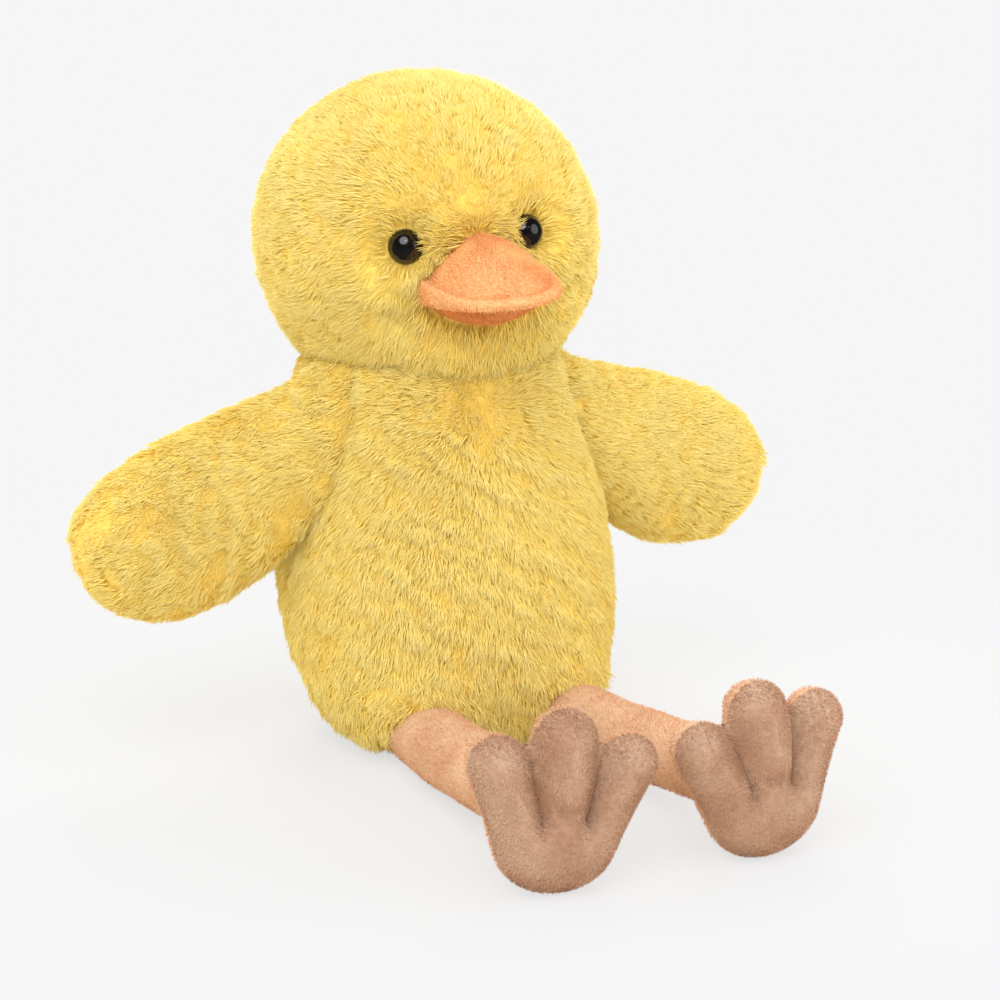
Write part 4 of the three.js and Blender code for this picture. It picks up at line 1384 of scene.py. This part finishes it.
class CHICK_OT_stitching(bpy.types.Operator):
    """Lay the threads of the neck and of the toes"""

    bl_idname = "chick.stitching"
    bl_label = "Stitching"

    def execute(self, context):
        body, cloth, fur = settings("body"), settings("cloth"), settings("fur")
        yellow = mottled_material("yellow_thread_finish", tuple(cloth.thread), 700, 0.15, 0.7)
        brown = mottled_material("brown_thread_finish", tuple(cloth.brown_thread), 700, 0.15, 0.7)
        turn = np.linspace(0, 2 * math.pi, 360, endpoint=False)
        wave = 0.5 * MM * np.sin(36 * turn)
        ring = body.neck_radius - fur.thickness + wave
        height = body.neck_height - 3 * MM
        back = spine(height) + ring * np.sin(turn)
        path = np.stack((ring * np.cos(turn), back, height + 2 * wave), axis=-1)
        ahead = np.stack((-np.sin(turn), np.cos(turn), 0 * turn), axis=-1)
        made = piece("neck_thread", [loop_form(twisted_cord(path, 0.8 * MM, ahead))], yellow)
        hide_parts("neck_stitching")
        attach(made, "neck")

        share = np.linspace(0.05, 0.78, 120)
        for side, sign in SIDES.items():
            for name, way in (("outer", sign), ("inner", -sign)):
                x = way * (CHANNEL_LOW[0] + (CHANNEL_HIGH[0] - CHANNEL_LOW[0]) * share)
                z = CHANNEL_LOW[1] + (CHANNEL_HIGH[1] - CHANNEL_LOW[1]) * share
                turn, reach = np.arctan2(x, z - FOOT_MIDDLE), np.hypot(x, z - FOOT_MIDDLE)
                path = foot_form(side, reach / foot_reach(turn), turn, -1, 0.9 * MM)
                cord = closed_form(twisted_cord(path, 0.5 * MM))
                made = piece(f"{side}_{name}_toe_thread", [cord], brown)
                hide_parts(f"{side}_foot_{name}_toe_stitching")
                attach(made, f"{side}_foot")
        return {"FINISHED"}


def lumpy(grid, seed):
    """Rows of points pushed in a little by smooth noise, as loose fibre gives."""
    rng = np.random.default_rng(seed)
    middle = grid.reshape(-1, 3).mean(0)
    push = 0.5 * MM * (1 + np.clip(waves(grid, 9 * MM, rng), -1, 1))
    return grid - push[..., None] * unit(grid - middle)


class CHICK_OT_fillings(bpy.types.Operator):
    """Stuff the head, beak, body, wings, legs and feet with loose fibre"""

    bl_idname = "chick.fillings"
    bl_label = "Fillings"

    def execute(self, context):
        head, body, wing, limb = settings("head"), settings("body"), settings("wing"), settings("limb")
        fur, cloth = settings("fur"), settings("cloth")
        finish = mottled_material("fibre_filling_finish", tuple(cloth.fibre), 160, 0.08, 0.9)
        under_fur, under_cloth = fur.thickness + 0.4 * MM, limb.cloth + 0.5 * MM

        def stuff(node, grid, body_name, seed):
            """A lump of fibre in place of one filling."""
            made = piece(f"{node}_fibre", [closed_form(lumpy(grid, seed))], finish)
            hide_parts(node)
            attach(made, body_name)

        def inside_head(a, b):
            """A ball with a pocket behind each eye for its washer and shank."""
            rise, turn = math.pi * (a - 0.5), 2 * math.pi * b
            way = np.stack((np.cos(rise) * np.cos(turn), np.cos(rise) * np.sin(turn), np.sin(rise)), axis=-1)
            pocket = 0
            for side in SIDES:
                aim_way = head_axes() @ eye_aim(side)
                pocket = pocket + 11 * MM * ease((way @ aim_way - 0.965) / 0.02)
            return head_form(way, under_fur + pocket)

        def inside_body(a, b):
            """Up the side of the body from the seat and in over its top, over a hollow for the pellet bag."""
            path = np.array(((0, 0.40), (0.2, 0.37), (0.32, 0.23), (0.36, 0.13), (0.48, 0.11), (1, 0.86)))
            height = body.neck_height * np.interp(a, path[:, 0], path[:, 1])
            outer = body_form(height, 2 * math.pi * b, under_fur)
            middle = np.stack((0 * height, spine(height), height), axis=-1)
            share = np.interp(a, (0, 0.2, 0.32, 0.36, 0.48, 0.9, 1), (0.02, 0.6, 0.8, 0.84, 1, 1, 0.7))
            return middle + (outer - middle) * share[..., None]

        def inside_beak(a, b):
            """The beak, drawn in to leave room for its seam."""
            return beak_form(0.1 + 0.88 * a, 2 * math.pi * b, 1.5 * head.welt_radius)

        stuff("head_filling", rounds(lambda a, b: inside_head(0.02 + 0.96 * a, b), 60, 80), "head", 71)
        stuff("body_filling", rounds(inside_body, 60, 72), "body", 72)
        stuff("beak_filling", rounds(inside_beak, 24, 36), "head", 73)
        for index, side in enumerate(SIDES):
            leg = np.linalg.norm(joint_point(f"{side}_ankle_bend") - joint_point(f"{side}_leg_swing"))

            def inside_wing(a, b):
                """The wing inside its fur."""
                reach = 4 * MM + (wing.span - under_fur - 6 * MM) * slowing(a)
                return wing_form(side, reach, 2 * math.pi * b, under_fur)

            def inside_leg(a, b):
                """The leg inside its cloth, from the hip to the ankle."""
                return leg_form(side, 3 * MM + (leg - 3 * MM) * a, 2 * math.pi * b, under_cloth + 0 * a)

            def inside_foot(a, b):
                """The foot inside its cloth: out over the sole and back over the upper side."""
                front = np.where(a < 0.5, -1, 1)
                share = np.sin(math.pi * np.clip(0.01 + 0.98 * a, 0, 1))
                return foot_form(side, share, 2 * math.pi * b, front, under_cloth)

            stuff(f"{side}_wing_filling", rounds(inside_wing, 30, 40), f"{side}_wing", 74 + index)
            stuff(f"{side}_leg_filling", rounds(inside_leg, 40, 36), f"{side}_leg", 76 + index)
            stuff(f"{side}_foot_filling", rounds(inside_foot, 60, 72), f"{side}_foot", 78 + index)
        return {"FINISHED"}


def bead_grid(radius):
    """A small round bead of three rings of six points."""
    rise = np.radians((-50, 0, 50))[:, None]
    turn = np.linspace(0, 2 * math.pi, 6, endpoint=False)[None]
    rings = (np.cos(rise) * np.cos(turn), np.cos(rise) * np.sin(turn), np.sin(rise) + 0 * turn)
    return radius * np.stack(rings, axis=-1)


class CHICK_OT_pellet_bag(bpy.types.Operator):
    """Sew the pellet bag in the seat and fill it with pellets"""

    bl_idname = "chick.pellet_bag"
    bl_label = "Pellet Bag"

    def execute(self, context):
        body, cloth = settings("body"), settings("cloth")
        low, high = box_side("pellet_bag_bottom_panel", 0, 2), box_side("pellet_bag_top_panel", 1, 2)
        middle = np.array((0, spine((low + high) / 2), (low + high) / 2))
        half = np.array((body.bag_radius, (high - low) / 2, (high - low) / 2))
        canvas = mottled_material("bag_cloth_finish", tuple(cloth.bag), 260, 0.1, 0.9)
        for panel, side in (("top", 1), ("bottom", -1)):
            def surface(a, b, inset=0.0, side=side):
                """Half a flattened ball with soft folds that run in from its seam."""
                way = half_ball(a, b, side)[..., (0, 2, 1)]
                turn = np.arctan2(way[..., 1], way[..., 0])
                fold = 0.25 * MM * np.sin(14 * turn) * (1 - np.abs(way[..., 2]))
                return middle + way * (half - inset - 0.3 * MM - fold[..., None])

            outer = patch_grid(surface, 36, 36)
            inner = patch_grid(lambda a, b: surface(a, b, BAG_CLOTH), 36, 36)
            made = piece(f"pellet_bag_{panel}_cloth", [cloth_patch(outer, inner)], canvas)
            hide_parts(f"pellet_bag_{panel}_panel")
            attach(made, "body")

        rng = np.random.default_rng(81)
        steps = np.arange(-9, 10) * body.pellet
        spots = np.stack(np.meshgrid(steps, steps, steps, indexing="ij"), axis=-1).reshape(-1, 3)
        room = half - 1.7 * MM - body.pellet / 2
        spots = spots[((spots / room) ** 2).sum(-1) < 1]
        bead = bead_grid(body.pellet * 0.46)
        spots = middle + spots + rng.uniform(-0.12, 0.12, spots.shape) * MM
        beads = [closed_form(bead + spot) for spot in spots]
        resin = mottled_material("pellets_finish", tuple(cloth.pellet), 500, 0.1, 0.45)
        made = piece("pellet_beads", beads, resin)
        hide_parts("pellets")
        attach(made, "body")
        return {"FINISHED"}


def aim(thing, target):
    """Turns a lamp or a camera to look at a point."""
    thing.rotation_euler = (Vector(target) - thing.location).to_track_quat("-Z", "Y").to_euler()


def floor_material():
    """Plain pale floor that runs into the backdrop, with a soft shadow near the chick.

    The camera sees it glow in its own colour, wholly at a distance and less near the chick, where its shadow
    shows. It throws a little warm light back, and glossy surfaces mirror it as dark.
    """
    stage = settings("stage")
    material, nodes, links, shader = node_material("floor")
    shader.inputs["Roughness"].default_value = 0.9
    glow = nodes.new("ShaderNodeEmission")
    glow.inputs["Color"].default_value = (*stage.floor, 1)
    seen = nodes.new("ShaderNodeLightPath").outputs
    away = nodes.new("ShaderNodeVectorMath")
    away.operation = "LENGTH"
    links.new(nodes.new("ShaderNodeTexCoord").outputs["Object"], away.inputs[0])
    plain = nodes.new("ShaderNodeMapRange")
    plain.interpolation_type = "SMOOTHSTEP"
    set_values(plain, {"From Min": 0.08, "From Max": 0.36, "To Min": 0.72, "To Max": 1})
    links.new(away.outputs["Value"], plain.inputs["Value"])
    share = reckon(nodes, links, "MULTIPLY", seen["Is Camera Ray"], plain.outputs["Result"])
    mixed = mix_shaders(nodes, links, share, shader.outputs["BSDF"], glow.outputs["Emission"])
    links.new(mixed, nodes["Material Output"].inputs["Surface"])
    held = nodes.new("ShaderNodeMixRGB")
    set_values(held, {"Color1": (0.82, 0.76, 0.64, 1), "Color2": (0.7, 0.7, 0.7, 1)})
    links.new(seen["Is Camera Ray"], held.inputs["Fac"])
    grey = nodes.new("ShaderNodeMixRGB")
    grey.inputs["Color2"].default_value = (0.05, 0.05, 0.05, 1)
    links.new(held.outputs["Color"], grey.inputs["Color1"])
    links.new(seen["Is Glossy Ray"], grey.inputs["Fac"])
    links.new(grey.outputs["Color"], shader.inputs["Base Color"])
    return material


class CHICK_OT_stage(bpy.types.Operator):
    """Set up the floor, the lights and the camera"""

    bl_idname = "chick.stage"
    bl_label = "Stage"

    def execute(self, context):
        stage = settings("stage")
        scene = context.scene
        scene.view_settings.view_transform = "Standard"
        floor = bpy.data.meshes.new("floor")
        floor.from_pydata([(-4, -4, 0), (4, -4, 0), (4, 4, 0), (-4, 4, 0)], [], [(0, 1, 2, 3)])
        ground = bpy.data.objects.new("floor", floor)
        scene.collection.objects.link(ground)
        floor.materials.append(floor_material())

        world = bpy.data.worlds.new("studio")
        scene.world = world
        world.use_nodes = True
        nodes, links = world.node_tree.nodes, world.node_tree.links
        soft = nodes["Background"]
        set_values(soft, {"Color": (1, 1, 1, 1), "Strength": stage.sky})
        plain = nodes.new("ShaderNodeBackground")
        plain.inputs["Color"].default_value = (*stage.floor, 1)
        # What glossy surfaces mirror is dim, so that the eyes stay black
        dim = nodes.new("ShaderNodeBackground")
        dim.inputs["Strength"].default_value = 0.05
        seen = nodes.new("ShaderNodeLightPath").outputs
        lit, mirrored, backdrop = (source.outputs["Background"] for source in (soft, dim, plain))
        glossy = mix_shaders(nodes, links, seen["Is Glossy Ray"], lit, mirrored)
        choose = mix_shaders(nodes, links, seen["Is Camera Ray"], glossy, backdrop)
        links.new(choose, nodes["World Output"].inputs["Surface"])

        target = np.array(stage.target)
        for name, place, size, power_watts in (
            ("key", (-0.75, -0.85, 1.15), 1.3, 13.5),
            ("glint", (-0.5, -0.95, 1.0), 0.16, 0.7),
            ("fill", (0.95, -0.9, 0.5), 1.2, 5.0),
            ("rim", (0.5, 0.9, 1.0), 1.0, 8.0),
        ):
            lamp = bpy.data.lights.new(name, "AREA")
            lamp.shape = "DISK"
            lamp.size = size
            lamp.energy = power_watts
            light = bpy.data.objects.new(name, lamp)
            light.location = place
            aim(light, target)
            scene.collection.objects.link(light)

        turn, rise = stage.azimuth, stage.elevation
        back = np.array((math.sin(turn) * math.cos(rise), -math.cos(turn) * math.cos(rise), math.sin(rise)))
        lens = bpy.data.cameras.new("camera")
        lens.lens = stage.lens
        lens.clip_start = 0.01
        camera = bpy.data.objects.new("camera", lens)
        camera.location = target + stage.distance * back
        aim(camera, target)
        scene.collection.objects.link(camera)
        scene.camera = camera
        return {"FINISHED"}


class CHICK_PT_panel(bpy.types.Panel):
    """Lists the operators that make the chick, and the sizes and colours that they use"""

    bl_label = "Plush Chick"
    bl_idname = "CHICK_PT_panel"
    bl_space_type = "VIEW_3D"
    bl_region_type = "UI"
    bl_category = "Chick"

    def draw(self, context):
        for maker in MAKERS:
            self.layout.operator(maker.bl_idname)
        for name, group in GROUPS.items():
            box = self.layout.box()
            box.label(text=group.__doc__)
            for entry in group.__annotations__:
                box.prop(settings(name), entry)


GROUPS = {
    "head": ChickHead,
    "body": ChickBody,
    "wing": ChickWing,
    "limb": ChickLimb,
    "fur": ChickFur,
    "cloth": ChickCloth,
    "stage": ChickStage,
}
MAKERS = (
    CHICK_OT_stage,
    CHICK_OT_head_fur,
    CHICK_OT_body_fur,
    CHICK_OT_wing_fur,
    CHICK_OT_eyes,
    CHICK_OT_beak,
    CHICK_OT_legs,
    CHICK_OT_feet,
    CHICK_OT_stitching,
    CHICK_OT_fillings,
    CHICK_OT_pellet_bag,
)


def register():
    """Registers the groups, the operators and the panel."""
    for name, group in GROUPS.items():
        bpy.utils.register_class(group)
        setattr(bpy.types.Scene, f"chick_{name}", bpy.props.PointerProperty(type=group))
    for maker in (*MAKERS, CHICK_PT_panel):
        bpy.utils.register_class(maker)


def unregister():
    """Removes what register added."""
    for maker in reversed((*MAKERS, CHICK_PT_panel)):
        bpy.utils.unregister_class(maker)
    for name, group in reversed(GROUPS.items()):
        delattr(bpy.types.Scene, f"chick_{name}")
        bpy.utils.unregister_class(group)


def main():
    """Registers the groups and operators and runs each operator, which builds the chick and its stage."""
    register()
    for maker in MAKERS:
        group, _, operator = maker.bl_idname.partition(".")
        getattr(getattr(bpy.ops, group), operator)()


if __name__ == "__main__":
    main()
